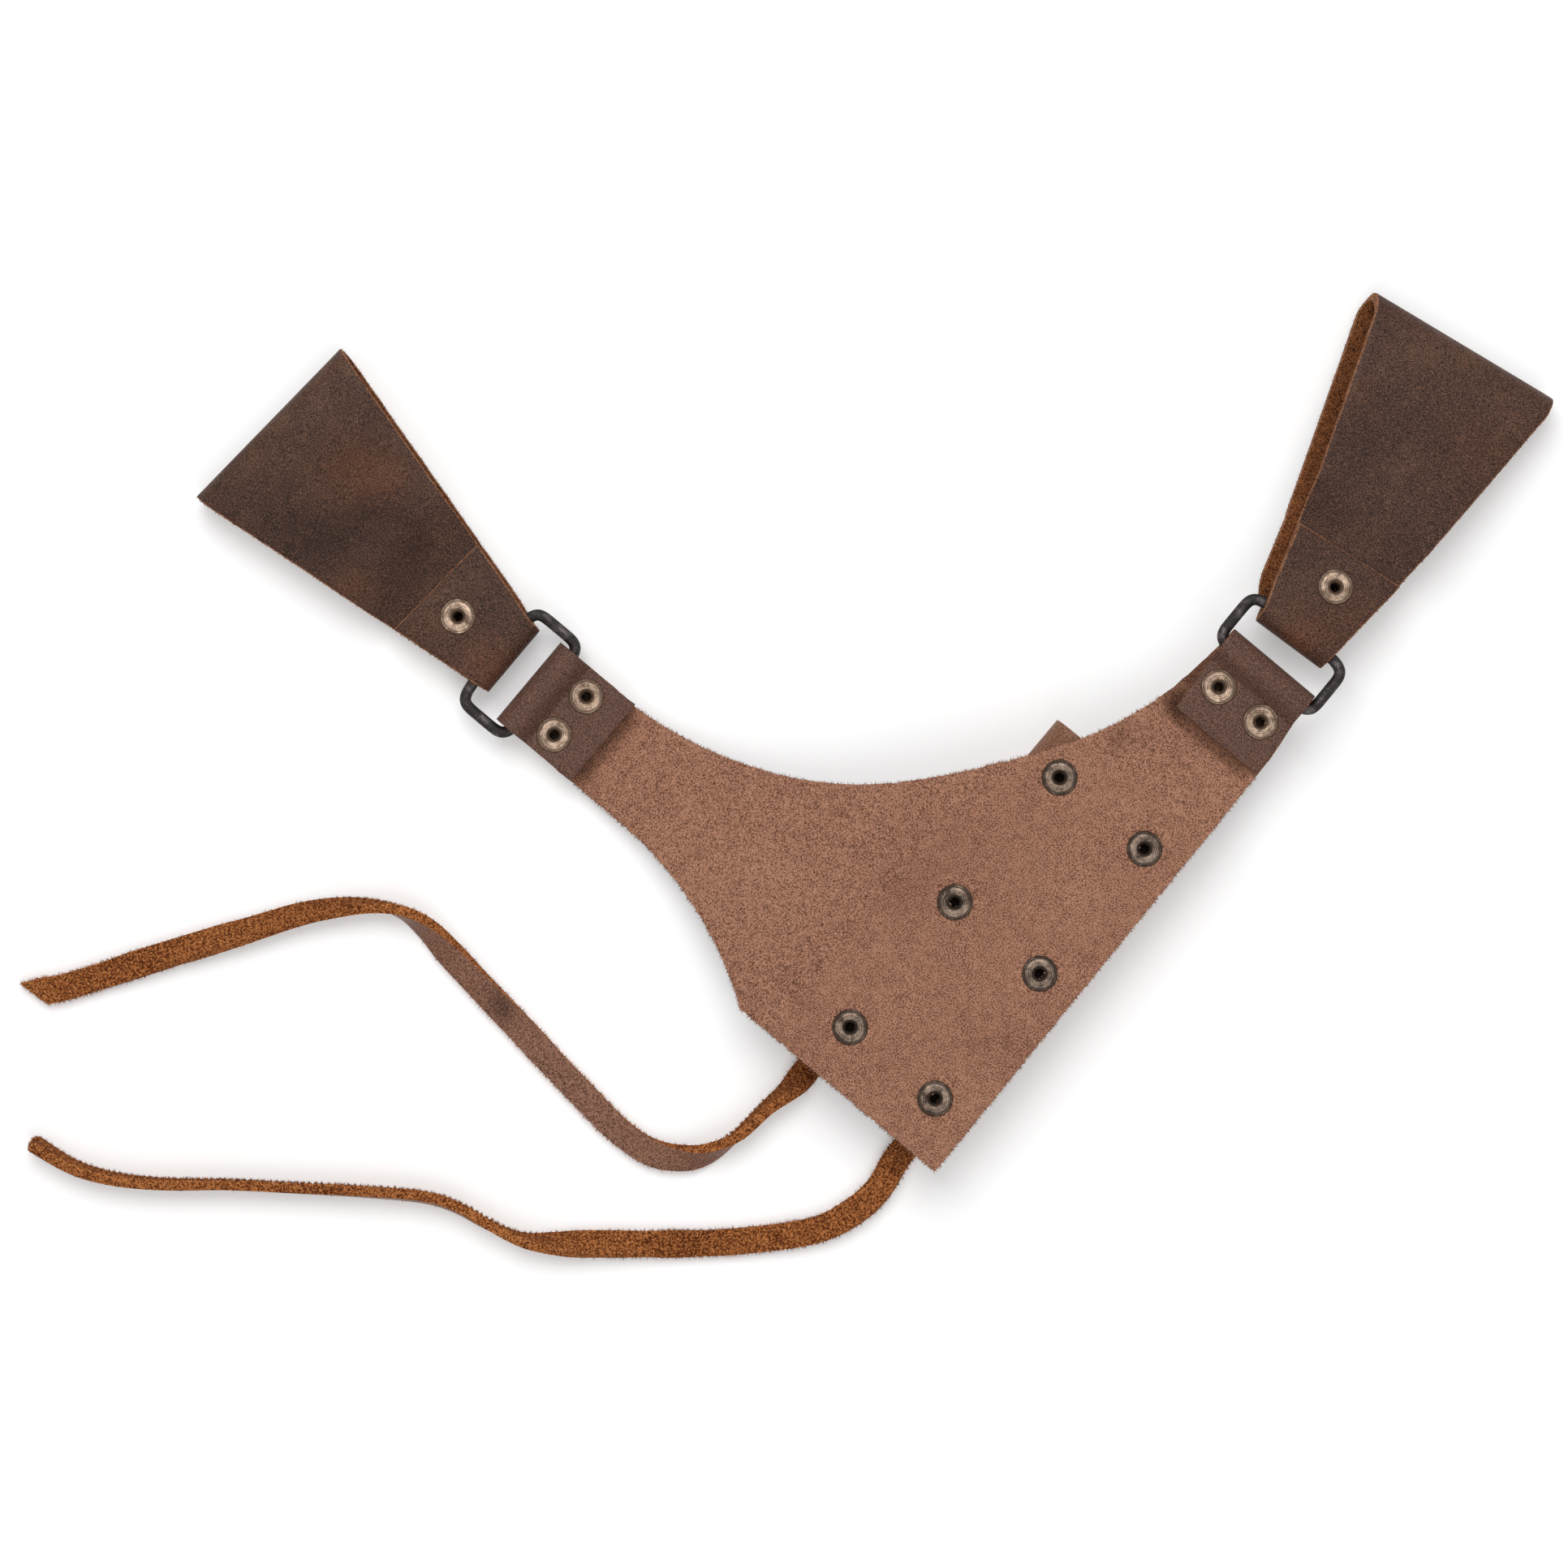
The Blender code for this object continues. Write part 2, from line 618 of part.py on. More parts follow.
def free_lace(name, route):
    """Free end on the floor: each point rises just enough for the thong's turn."""
    points = []
    turns = []
    for x, y, degrees in route:
        angle = math.radians(degrees)
        height = (LACE_WIDTH * math.sin(angle) + LACE_THICK * abs(math.cos(angle))) / 2
        points.append((x * MM, y * MM, FLOOR_GAP + height))
        turns.append(angle)
    return lace_strip(name, points, turns)


def lacing_half(side):
    """One half of the lacing: from the middle of the top bar through three slots to the sleeve's foot."""
    first, second, third = LACE_ROWS
    points = [(0, first, LACE_OFFSET)]
    points += slot_turn(side, first)
    points += crossing(side, first, second, side * LACE_CROSS)
    points += slot_turn(-side, second)
    points += crossing(-side, second, third, side * LACE_CROSS)
    points += slot_turn(side, third)
    points += lace_foot(side, third)
    return points


LACE_OFFSET = HALF_LEATHER + LACE_GAP + LACE_THICK / 2
LACE_TURN_IN = LACE_COLUMN - LACE_OFFSET


def slot_turn(side, row):
    """From the inside, out through a slot in the wing on this side."""
    angles = [math.radians(90 - 22.5 * i) for i in range(9)]
    reach = LACE_OFFSET
    return [(side * (LACE_TURN_IN + reach * math.cos(a)), row, reach * math.sin(a)) for a in angles]


def crossing(side, row, next_row, cross):
    """From the outside at one row, through the mouth, to the inside of the other wing at the next row."""
    points = []
    for i in range(1, 12):
        t = i / 12
        rise = 2 * LACE_OFFSET * smooth_step(t, 0.3, 0.7)
        bump = cross * (smooth_step(t, 0.25, 0.5) - smooth_step(t, 0.5, 0.75))
        x = side * LACE_TURN_IN * (1 - 2 * t)
        y = row + (next_row - row) * smooth_step(t, 0, 1)
        points.append((x, y, max(rise + bump - LACE_OFFSET, -LACE_OFFSET)))
    return points


def lace_foot(side, row):
    """Under the wing from the last slot: a bend towards the foot of the sleeve, then straight out."""
    bend = LACE_TURN_IN * 0.62
    middle = LACE_TURN_IN - bend * 0.2
    points = []
    for i in range(1, 7):
        angle = math.pi / 2 * i / 6
        points.append((side * (middle - bend * math.sin(angle)), row - bend * (1 - math.cos(angle)), -LACE_OFFSET))
    start_x, start_y = middle - bend, row - bend
    for i in range(1, 6):
        t = i / 5
        x = start_x + (LACE_FEET[side] - start_x) * smooth_step(t, 0, 0.8)
        points.append((side * x, start_y + (LACE_FOOT_END - start_y) * t, -LACE_OFFSET))
    return points


def make_lacing():
    right = lacing_half(1)
    left = lacing_half(-1)
    route = left[::-1] + right[1:]
    points = [(SLEEVE_X + x, SLEEVE_Y + y, WING_LEVEL + z) for x, y, z in route]
    return lace_strip("lace_crossing", points, [0] * len(points))


panel = make_panel()
sleeve = make_sleeve()

panel_top = PANEL_LEVEL + HALF_LEATHER
for column, x_share in (("left", -0.5), ("right", 0.5)):
    for row, y_share in (("top", 1), ("middle", 0), ("bottom", -1)):
        x = SLEEVE_X + COLUMN_SPACING * x_share
        y = SLEEVE_Y + ROW_SPACING * y_share
        tool = rivet(f"{column}_{row}_rivet", None, x, y, panel_top, LEATHER + PLY)
        drill(panel, tool)
        drill(sleeve, tool)

for end, shift in (("lower", -0.5), ("upper", 0.5)):
    y = LEFT_ARM_CENTRE + (LEFT_ARM_WIDTH - 2 * HEM_RIVET_EDGE) * shift
    x = LEFT_FOLD_EDGE + HEM_RIVET_INSET
    drill(panel, rivet(f"left_hem_{end}_rivet", None, x, y, LEFT_ARM_LEVEL + PLY + HALF_LEATHER, LEATHER + PLY))
for end, shift in (("left", -0.5), ("right", 0.5)):
    x = RIGHT_ARM_CENTRE + (RIGHT_ARM_WIDTH - 2 * HEM_RIVET_EDGE) * shift
    y = RIGHT_FOLD_EDGE - HEM_RIVET_INSET
    drill(panel, rivet(f"right_hem_{end}_rivet", None, x, y, RIGHT_ARM_LEVEL + PLY + HALF_LEATHER, LEATHER + PLY))

for side in (-1, 1):
    for i, row in enumerate(LACE_ROWS):
        spot = (SLEEVE_X + side * LACE_COLUMN, SLEEVE_Y + row, WING_LEVEL)
        drill(sleeve, slot_cutter(f"lace_slot_{side}_{i}", spot))

left_hinge = Vector((LEFT_HINGE_X, LEFT_ARM_CENTRE, LEFT_ARM_LEVEL + HEM_TURN))
right_hinge = Vector((RIGHT_ARM_CENTRE, RIGHT_HINGE_Y, RIGHT_ARM_LEVEL + HEM_TURN))
left_set = (LEFT_LOOP_LENGTH, LEFT_SKEW, LEFT_LOOP_SHIFT, LEFT_BACK_SHIFT)
right_set = (RIGHT_LOOP_LENGTH, RIGHT_SKEW, RIGHT_LOOP_SHIFT, RIGHT_BACK_SHIFT)
make_hanger("left", left_hinge, math.pi, 0, *left_set)
make_hanger("right", right_hinge, math.pi / 2, RIGHT_RING_PITCH, *right_set)

make_lacing()
free_lace("left_lace_end", LEFT_LACE_ROUTE)
free_lace("right_lace_end", RIGHT_LACE_ROUTE)
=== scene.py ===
import json
import math
import random

import bmesh
import bpy
from mathutils import Matrix, Vector, noise


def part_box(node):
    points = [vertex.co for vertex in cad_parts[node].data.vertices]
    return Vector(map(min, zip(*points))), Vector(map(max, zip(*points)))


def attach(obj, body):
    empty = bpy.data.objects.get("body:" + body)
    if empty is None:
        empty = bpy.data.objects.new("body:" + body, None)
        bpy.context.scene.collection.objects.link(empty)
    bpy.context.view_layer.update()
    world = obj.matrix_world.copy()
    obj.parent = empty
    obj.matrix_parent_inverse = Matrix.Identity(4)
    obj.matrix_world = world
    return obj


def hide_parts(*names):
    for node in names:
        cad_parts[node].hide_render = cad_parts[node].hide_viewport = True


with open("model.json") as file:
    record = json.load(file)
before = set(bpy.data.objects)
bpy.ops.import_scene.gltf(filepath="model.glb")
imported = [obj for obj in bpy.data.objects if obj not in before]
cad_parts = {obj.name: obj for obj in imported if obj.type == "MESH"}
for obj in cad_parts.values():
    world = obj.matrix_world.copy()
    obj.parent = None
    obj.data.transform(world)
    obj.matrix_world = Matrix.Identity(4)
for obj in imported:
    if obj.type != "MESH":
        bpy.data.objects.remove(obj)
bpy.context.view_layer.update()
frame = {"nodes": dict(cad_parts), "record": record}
record = frame["record"]
mm = 0.001
print("frame loaded")

# leather thickness and the step between stacked layers, as in the solids
leather = {
    "thickness": 2.3 * mm,
    "ply": 2.6 * mm,
    "gap": 0.3 * mm,
    "edgeSteps": 2,
    "edgeAngle": math.radians(50),
}
half = leather["thickness"] / 2
cutReach = 0.001 * mm  # points this near a cut count as lying on it

joints = {joint["name"]: joint for joint in record["behaviour"]["joints"]}
mounts = {mount["name"]: mount for mount in record["mounts"]}
up = Vector((0, 0, 1))


def boxCorners(node):
    return [Vector(corner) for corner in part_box(node)]


def hingeSpot(name):
    return Vector(joints[name]["pos_m"])


# camera straight above, rolled as the photograph is
photo = {
    "centre": (34.6 * mm, -74.8 * mm),
    "height": 1.2,
    "lens": 107.8,
    "sensor": 36,
    "roll": math.radians(40),
}
cameraData = bpy.data.cameras.new("photoCamera")
cameraData.lens = photo["lens"]
cameraData.sensor_width = photo["sensor"]
camera = bpy.data.objects.new("photoCamera", cameraData)
camera.location = (*photo["centre"], photo["height"])
camera.rotation_euler = (0, 0, photo["roll"])
bpy.context.collection.objects.link(camera)
bpy.context.scene.camera = camera


def newGroup(name, colours, numbers, outs):
    # effect with a place, colours and numbers going in, a colour and numbers coming out
    group = bpy.data.node_groups.new(name, "ShaderNodeTree")
    sockets = [("Vector", "INPUT", "Vector"), ("Colour", "OUTPUT", "Color")]
    sockets += [(label, "INPUT", "Color") for label in colours]
    sockets += [(label, "INPUT", "Float") for label in numbers]
    sockets += [(label, "OUTPUT", "Float") for label in outs]
    for label, way, kind in sockets:
        socket = group.interface.new_socket(label, in_out=way, socket_type="NodeSocket" + kind)
        if label in numbers:
            socket.default_value = numbers[label]
    given = group.nodes.new("NodeGroupInput").outputs
    return group, given, group.nodes.new("NodeGroupOutput").inputs


def giveOut(tree, made, results):
    for label, source in results.items():
        tree.links.new(source, made[label])


def addNode(tree, kind, links=None, **settings):
    node = tree.nodes.new("ShaderNode" + kind)
    for key, value in settings.items():
        setattr(node, key, value)
    for socket, source in (links or {}).items():
        if isinstance(source, bpy.types.NodeSocket):
            tree.links.new(source, node.inputs[socket])
        else:
            node.inputs[socket].default_value = source
    return node


def noiseNode(tree, vector, scale, detail, roughness, distortion=0.0):
    links = {"Vector": vector, "Scale": scale, "Detail": detail, "Roughness": roughness}
    links["Distortion"] = distortion
    return addNode(tree, "TexNoise", links).outputs["Fac"]


def mapRange(tree, value, low, high, toLow=0.0, toHigh=1.0):
    links = {"Value": value, "From Min": low, "From Max": high, "To Min": toLow, "To Max": toHigh}
    return addNode(tree, "MapRange", links).outputs["Result"]


def mathNode(tree, operation, first, second):
    return addNode(tree, "Math", {0: first, 1: second}, operation=operation).outputs[0]


def scaled(tree, value, factor):
    return mathNode(tree, "MULTIPLY", value, factor)


def weighted(tree, first, second, share):
    # so much of the first value and the rest of the second
    return mathNode(tree, "ADD", scaled(tree, first, share), scaled(tree, second, 1 - share))


def mixColour(tree, factor, first, second, blend="MIX"):
    links = {0: factor, 6: first, 7: second}
    return addNode(tree, "Mix", links, data_type="RGBA", blend_type=blend).outputs[2]


# noises are scale, detail, roughness and distortion
# ranges are the noise values where an effect starts and is full, then its least and most
nap = {
    "specks": (2800, 2, 0.6),
    "clumps": (560, 4, 0.65),
    "clouds": (26, 5, 0.6, 0.3),
    "speckShare": 0.8,
    "light": (0.5, 0.58, 0, 0.9),
    "dark": (0.5, 0.41, 0, 0.9),
    "broad": (0.35, 0.68, 0, 0.4),
    "shade": (0.5, 0.3, 0, 0.45),
    # dark tint multiplied in as painted shade
    "grime": (0.3, 0.28, 0.26, 1),
    "colours": ("Dark", "Mid", "Light"),
}


def makeNapGroup():
    # raised fibres of a flesh side: fine specks, clumps and broad shading, and painted shade: a dark tint
    # multiplied in where a vertex attribute asks
    numbers = {"Fineness": 1, "Soil": 0}
    tree, given, made = newGroup("fleshNap", nap["colours"], numbers, ("Height",))
    sizes = {0: given["Vector"], 3: given["Fineness"]}
    place = addNode(tree, "VectorMath", sizes, operation="SCALE").outputs[0]
    specks = noiseNode(tree, place, *nap["specks"])
    clumps = noiseNode(tree, place, *nap["clumps"])
    clouds = noiseNode(tree, given["Vector"], *nap["clouds"])
    fibre = weighted(tree, specks, clumps, nap["speckShare"])
    light = mapRange(tree, fibre, *nap["light"])
    dark = mapRange(tree, fibre, *nap["dark"])
    broad = mapRange(tree, clouds, *nap["broad"])
    shade = mapRange(tree, clouds, *nap["shade"])
    colour = mixColour(tree, broad, given["Mid"], given["Light"])
    colour = mixColour(tree, shade, colour, given["Dark"])
    colour = mixColour(tree, light, colour, given["Light"])
    colour = mixColour(tree, dark, colour, given["Dark"])
    # painted shade: multiplies in the dark tint where the panel's attribute marks shade
    colour = mixColour(tree, given["Soil"], colour, nap["grime"], "MULTIPLY")
    giveOut(tree, made, {"Colour": colour, "Height": fibre})
    return tree


grain = {
    "blotch": (34, 5, 0.6, 0.6),
    "streak": (120, 5, 0.7, 0.5),
    "fine": (2900, 2, 0.55),
    "cells": 900,
    "cellShare": 0.5,
    "warm": (0.15, 0.6),
    "dark": (0.85, 0.4),
    "pale": (0.3, 0.6),
    "scuff": (0.54, 0.8, 0, 0.3),
    "speck": (0.5, 0.63),
    "speckByDark": (0, 1, 0.65, 0.35),
    "pore": (0.5, 0.36, 0, 0.95),
    "polish": (0.3, 0.7, 0.62, 0.42),
    "colours": ("Dye", "Warm", "Scuff", "Pore"),
}


def makeGrainGroup():
    # waxed grain side: dark dye, warm blotches where the wax has moved, pale scuffs and fine pores
    numbers = {"Warmth": 0.5, "Darkness": 0, "Paleness": 0}
    tree, given, made = newGroup("waxedGrain", grain["colours"], numbers, ("Height", "Polish"))
    place = given["Vector"]
    blotch = noiseNode(tree, place, *grain["blotch"])
    streak = noiseNode(tree, place, *grain["streak"])
    fine = noiseNode(tree, place, *grain["fine"])
    cells = addNode(tree, "TexVoronoi", {"Vector": place, "Scale": grain["cells"]}, feature="F1")
    warm = scaled(tree, mapRange(tree, blotch, *grain["warm"]), given["Warmth"])
    deep = scaled(tree, mapRange(tree, blotch, *grain["dark"]), given["Darkness"])
    pale = scaled(tree, mapRange(tree, streak, *grain["pale"]), given["Paleness"])
    scuff = mapRange(tree, streak, *grain["scuff"])
    strength = mapRange(tree, deep, *grain["speckByDark"])
    speck = scaled(tree, mapRange(tree, fine, *grain["speck"]), strength)
    pore = mapRange(tree, fine, *grain["pore"])
    colour = mixColour(tree, deep, given["Dye"], given["Pore"])
    colour = mixColour(tree, warm, colour, given["Warm"])
    colour = mixColour(tree, pale, colour, given["Scuff"])
    colour = mixColour(tree, mathNode(tree, "ADD", scuff, speck), colour, given["Scuff"])
    colour = mixColour(tree, pore, colour, given["Pore"])
    height = weighted(tree, cells.outputs["Distance"], fine, grain["cellShare"])
    polish = mapRange(tree, blotch, *grain["polish"])
    giveOut(tree, made, {"Colour": colour, "Height": height, "Polish": polish})
    return tree


patina = {
    "patches": (330, 5, 0.65, 0.4),
    "fine": (2600, 3, 0.6),
    "patchShare": 0.7,
    "dullness": 0.45,
    "maskRange": (0.86, 1.12),
    "roughness": (0, 1, 0.4, 0.65),
    "colours": ("Bright", "Tarnish"),
}


def makePatinaGroup():
    # aged metal: tarnish in patches, bright where it rubs; the sheen input paints sheen as brighter colour,
    # and darker colour where it is low
    numbers = {"Amount": 0.5, "Shine": 1}
    tree, given, made = newGroup("metalPatina", patina["colours"], numbers, ("Roughness", "Height"))
    place = given["Vector"]
    patches = noiseNode(tree, place, *patina["patches"])
    fine = noiseNode(tree, place, *patina["fine"])
    dull = scaled(tree, mathNode(tree, "SUBTRACT", 1, given["Shine"]), patina["dullness"])
    dull = mathNode(tree, "ADD", dull, given["Amount"])
    mask = mathNode(tree, "ADD", weighted(tree, patches, fine, patina["patchShare"]), dull)
    mask = mapRange(tree, mask, *patina["maskRange"])
    colour = mixColour(tree, mask, given["Bright"], given["Tarnish"])
    roughness = mapRange(tree, mask, *patina["roughness"])
    giveOut(tree, made, {"Colour": colour, "Height": fine, "Roughness": roughness})
    return tree


napGroup = makeNapGroup()
grainGroup = makeGrainGroup()
patinaGroup = makePatinaGroup()
specular = {"metal": 0.5, "leather": 0.15}
napRoughness = 0.95


def linear(colour):
    # display colour written as 0 to 255, turned to the linear value that nodes take
    return tuple((value / 255) ** 2.2 for value in colour) + (1,)


def startMaterial(name):
    material = bpy.data.materials.new(name)
    material.use_nodes = True
    tree = material.node_tree
    return material, tree, tree.nodes["Principled BSDF"]


def newMaterial(name, group, labels, colours, relief, values):
    # a value given as a word is the name of a vertex attribute
    material, tree, shader = startMaterial(name)
    links = {"Vector": addNode(tree, "TexCoord").outputs["Object"]}
    for label, colour in zip(labels, colours):
        links[label] = linear(colour)
    for label, value in values.items():
        if isinstance(value, str):
            value = addNode(tree, "Attribute", attribute_name=value).outputs["Fac"]
        links[label] = value
    effect = addNode(tree, "Group", links, node_tree=group)
    tree.links.new(effect.outputs["Colour"], shader.inputs["Base Color"])
    heights = {"Height": effect.outputs["Height"], "Strength": relief[0], "Distance": relief[1]}
    bump = addNode(tree, "Bump", heights)
    tree.links.new(bump.outputs["Normal"], shader.inputs["Normal"])
    shader.inputs["Roughness"].default_value = napRoughness
    for label in ("Polish", "Roughness"):
        if label in effect.outputs:
            tree.links.new(effect.outputs[label], shader.inputs["Roughness"])
    metal = group == patinaGroup
    shader.inputs["Metallic"].default_value = 1.0 if metal else 0.0
    shader.inputs["Specular IOR Level"].default_value = specular["metal" if metal else "leather"]
    return material


# each finish: its effect's colours in order, strength and depth of its relief, other values
napLooks = {
    # the panel's flesh and cut edges take the panel's painted-shade attribute
    "panelFlesh": (((94, 62, 50), (150, 105, 85), (194, 143, 116)), (0.6, 0.4 * mm), {"Soil": "soil"}),
    "cutEdge": (((84, 54, 40), (136, 92, 68), (178, 128, 96)), (0.9, 0.5 * mm), {"Soil": "soil"}),
    # the loops' flesh colours are partly the leather's own and partly darkened as painted shade for the
    # loops' inner faces, which lie in shade; the sleeve's flesh side takes them too
    "loopFlesh": (((48, 28, 18), (98, 58, 36), (150, 96, 60)), (0.8, 0.5 * mm), {}),
    "laceFlesh": (((82, 40, 18), (158, 91, 50), (210, 137, 82)), (1, 0.9 * mm), {"Fineness": 0.7}),
    "laceShade": (((62, 34, 18), (100, 58, 34), (140, 86, 52)), (0.6, 0.4 * mm), {}),
}
grainLooks = {
    "panelGrain": (
        ((92, 68, 60), (116, 76, 60), (140, 108, 92), (58, 42, 38)), (0.35, 0.15 * mm), {"Warmth": 0.22}
    ),
    "sleeveGrain": (
        ((126, 88, 70), (144, 98, 74), (176, 134, 108), (84, 56, 44)), (0.35, 0.15 * mm), {"Warmth": 0.4}
    ),
    "loopGrain": (
        ((69, 49, 42), (122, 72, 44), (124, 92, 75), (36, 25, 21)), (0.35, 0.15 * mm),
        {"Warmth": "warm", "Darkness": "dark", "Paleness": "pale"},
    ),
    "laceGrain": (
        ((132, 92, 74), (146, 102, 82), (172, 130, 108), (62, 42, 34)), (0.4, 0.2 * mm),
        {"Warmth": 0.15, "Darkness": "dark"},
    ),
}
metalLooks = {
    # the rivets take their painted sheen from a vertex attribute
    "hemBrass": (((192, 168, 148), (96, 79, 67)), (0.2, 0.05 * mm), {"Amount": 0.45, "Shine": "shine"}),
    "panelBrass": (((150, 130, 115), (64, 55, 49)), (0.2, 0.05 * mm), {"Amount": 0.45, "Shine": "shine"}),
    "ringSteel": (((112, 106, 104), (58, 54, 54)), (0.25, 0.08 * mm), {"Amount": 0.6}),
}
finishes = {}
for group, effect, looks in (
    (napGroup, nap, napLooks), (grainGroup, grain, grainLooks), (patinaGroup, patina, metalLooks)
):
    for name, (colours, relief, values) in looks.items():
        finishes[name] = newMaterial(name, group, effect["colours"], colours, relief, values)
print("finishes made")


def settle(shape):
    # puts points, edges and faces in order of place, so that every run gives the same mesh
    places = (
        (shape.verts, lambda vert: vert.co),
        (shape.edges, lambda edge: edge.verts[0].co + edge.verts[1].co),
        (shape.faces, lambda face: face.calc_center_median()),
    )
    for parts, placeOf in places:
        ordered = sorted(parts, key=lambda part: tuple(round(value, 7) for value in placeOf(part)))
        for i, part in enumerate(ordered):
            part.index = i
        parts.sort()


def pieceName(node):
    first, *rest = node.split("_")
    return first + "".join(word.capitalize() for word in rest)


def addPiece(name, shape, body, finishNames):
    mesh = bpy.data.meshes.new(name)
    shape.to_mesh(mesh)
    shape.free()
    piece = bpy.data.objects.new(name, mesh)
    bpy.context.collection.objects.link(piece)
    for finish in finishNames:
        mesh.materials.append(finishes[finish])
    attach(piece, body)
    return piece


def finishPiece(node, shape, body, finishNames):
    settle(shape)
    piece = addPiece(pieceName(node), shape, body, finishNames)
    piece.data.shade_smooth()
    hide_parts(node)
    return piece


def finishSheet(node, shape, body, sheet):
    # thickens a leather sheet: face side, back and cut edge take its first, second and third finish
    piece = finishPiece(node, shape, body, sheet["finishes"])
    wall = piece.modifiers.new("thickness", "SOLIDIFY")
    wall.thickness = sheet.get("thickness", leather["thickness"])
    wall.offset = 0
    wall.material_offset = 1
    wall.material_offset_rim = 2
    soft = piece.modifiers.new("softEdge", "BEVEL")
    soft.width = sheet["roundness"]
    soft.segments = leather["edgeSteps"]
    soft.limit_method = "ANGLE"
    soft.angle_limit = leather["edgeAngle"]
    soft.material = 2
    return piece


def wander(point, size, amount):
    # small smooth unevenness, the same on every run
    return noise.noise(point / size) * amount


def stain(shape, place, label, spots):
    # vertex attribute that peaks at each spot: out and across in mm from the frame's origin, radius, amount
    layer = shape.verts.layers.float.new(label)
    back = place.inverted()
    for vert in shape.verts:
        local = back @ vert.co / mm
        total = 0
        for x, y, size, amount in spots:
            total += amount * math.exp(-((local.x - x) ** 2 + (local.y - y) ** 2) / size**2)
        vert[layer] = min(total, 1)


fibres = {
    "seed": 11,
    "radius": 0.1 * mm,
    "tip": 0.2,
    "length": 0.7 * mm,
    "lengths": (0.5, 1.6),
    "lean": 0.8,
    "faceLean": 0.6,
    "sides": 3,
    "stand": 0.4,
    "batch": 300,
}
chance = random.Random(fibres["seed"])


def edgeSpots(shape, spacing, thickness):
    # places along a sheet's cut edge, with the way out of the edge
    spots = []
    settle(shape)
    shape.normal_update()
    for edge in shape.edges:
        if not edge.is_boundary:
            continue
        face = edge.link_faces[0]
        first, second = sorted(edge.verts, key=lambda vert: vert.index)
        start, along = first.co, second.co - first.co
        outward = along.cross(face.normal).normalized()
        if outward.dot(face.calc_center_median() - start) > 0:
            outward.negate()
        for i in range(int(along.length / spacing + chance.random())):
            point = start + along * chance.random() + face.normal * thickness * (chance.random() - 0.5)
            spots.append((point, outward))
    return spots


def faceSpots(shape, density, offset):
    # places over one side of a sheet, so many to the square metre
    spots = []
    for face in shape.faces:
        for i in range(int(face.calc_area() * density + chance.random())):
            corners = sorted(face.verts, key=lambda vert: vert.index)
            weights = [chance.random() for vert in corners]
            point = sum((vert.co * share for vert, share in zip(corners, weights)), Vector())
            point /= sum(weights)
            lean = math.copysign(fibres["faceLean"], offset)
            spots.append((point + face.normal * offset, face.normal * lean))
    return spots


def makeFibres(name, spots, body, finish, share=1.0):
    # loose leather fibres, each a thin cone leaning its own way
    whole = bmesh.new()
    root, sway = fibres["radius"], fibres["lean"]
    for start in range(0, len(spots), fibres["batch"]):
        batch = bmesh.new()
        for point, outward in spots[start:start + fibres["batch"]]:
            lean = outward + Vector([chance.uniform(-sway, sway) for axis in range(3)])
            length = fibres["length"] * share * chance.uniform(*fibres["lengths"])
            middle = point + lean.normalized() * length * fibres["stand"]
            turn = up.rotation_difference(lean).to_matrix().to_4x4()
            bmesh.ops.create_cone(
                batch, segments=fibres["sides"], radius1=root, radius2=root * fibres["tip"],
                depth=length, matrix=Matrix.Translation(middle) @ turn,
            )
        mesh = bpy.data.meshes.new("fibreBatch")
        batch.to_mesh(mesh)
        batch.free()
        whole.from_mesh(mesh)
        bpy.data.meshes.remove(mesh)
    for vert in whole.verts:
        vert.co.z = max(vert.co.z, 0)
    return addPiece(name, whole, body, [finish])


def extrudeRow(shape, edges):
    # the points of the new row, and the edges that join them
    made = bmesh.ops.extrude_edge_only(shape, edges=edges)["geom"]
    verts = [item for item in made if isinstance(item, bmesh.types.BMVert)]
    edges = [item for item in made if isinstance(item, bmesh.types.BMEdge)]
    return verts, [edge for edge in edges if all(vert in verts for vert in edge.verts)]


def sheetAlong(stations, columns):
    # sheet through (centre, half width) stations, each row extruded from the one before
    shape = bmesh.new()
    centre, across = stations[0]
    verts = [shape.verts.new(centre + across * (2 * i / columns - 1)) for i in range(columns + 1)]
    edges = [shape.edges.new(pair) for pair in zip(verts, verts[1:])]
    for (oldCentre, oldAcross), (centre, across) in zip(stations, stations[1:]):
        verts, edges = extrudeRow(shape, edges)
        for vert in verts:
            share = (vert.co - oldCentre).dot(oldAcross) / oldAcross.length_squared
            vert.co = centre + across * share
    bmesh.ops.recalc_face_normals(shape, faces=shape.faces)
    return shape


def faceOut(shape, want):
    # turns the sheet over if its first face looks away from the wanted side
    shape.faces.ensure_lookup_table()
    shape.normal_update()
    if shape.faces[0].normal.dot(want) < 0:
        bmesh.ops.reverse_faces(shape, faces=shape.faces)


def allParts(shape):
    return list(shape.verts) + list(shape.edges) + list(shape.faces)


def axisCut(shape, parts, axis, offset):
    # splits the given parts of a shape on the plane across one axis
    spot = Vector((0, 0, 0))
    spot[axis] = offset
    normal = Vector((0, 0, 0))
    normal[axis] = 1
    bmesh.ops.bisect_plane(shape, geom=parts, plane_co=spot, plane_no=normal, dist=cutReach)


def smoothStep(value, start, end):
    t = min(max((value - start) / (end - start), 0), 1)
    return t * t * (3 - 2 * t)


def shares(steps):
    return [i / steps for i in range(1, steps + 1)]


def arcPoints(centre, radius, start, end, steps):
    angles = [math.radians(start + (end - start) * i / steps) for i in range(steps + 1)]
    return [(centre[0] + radius * math.cos(a), centre[1] + radius * math.sin(a)) for a in angles]


def slopePoints(start, end, steps):
    points = []
    for t in shares(steps):
        rise = (end[1] - start[1]) * smoothStep(t, 0, 1)
        points.append((start[0] + (end[0] - start[0]) * t, start[1] + rise))
    return points


def linePoints(start, end, steps):
    return [tuple(a + (b - a) * i / steps for a, b in zip(start, end)) for i in range(1, steps + 1)]


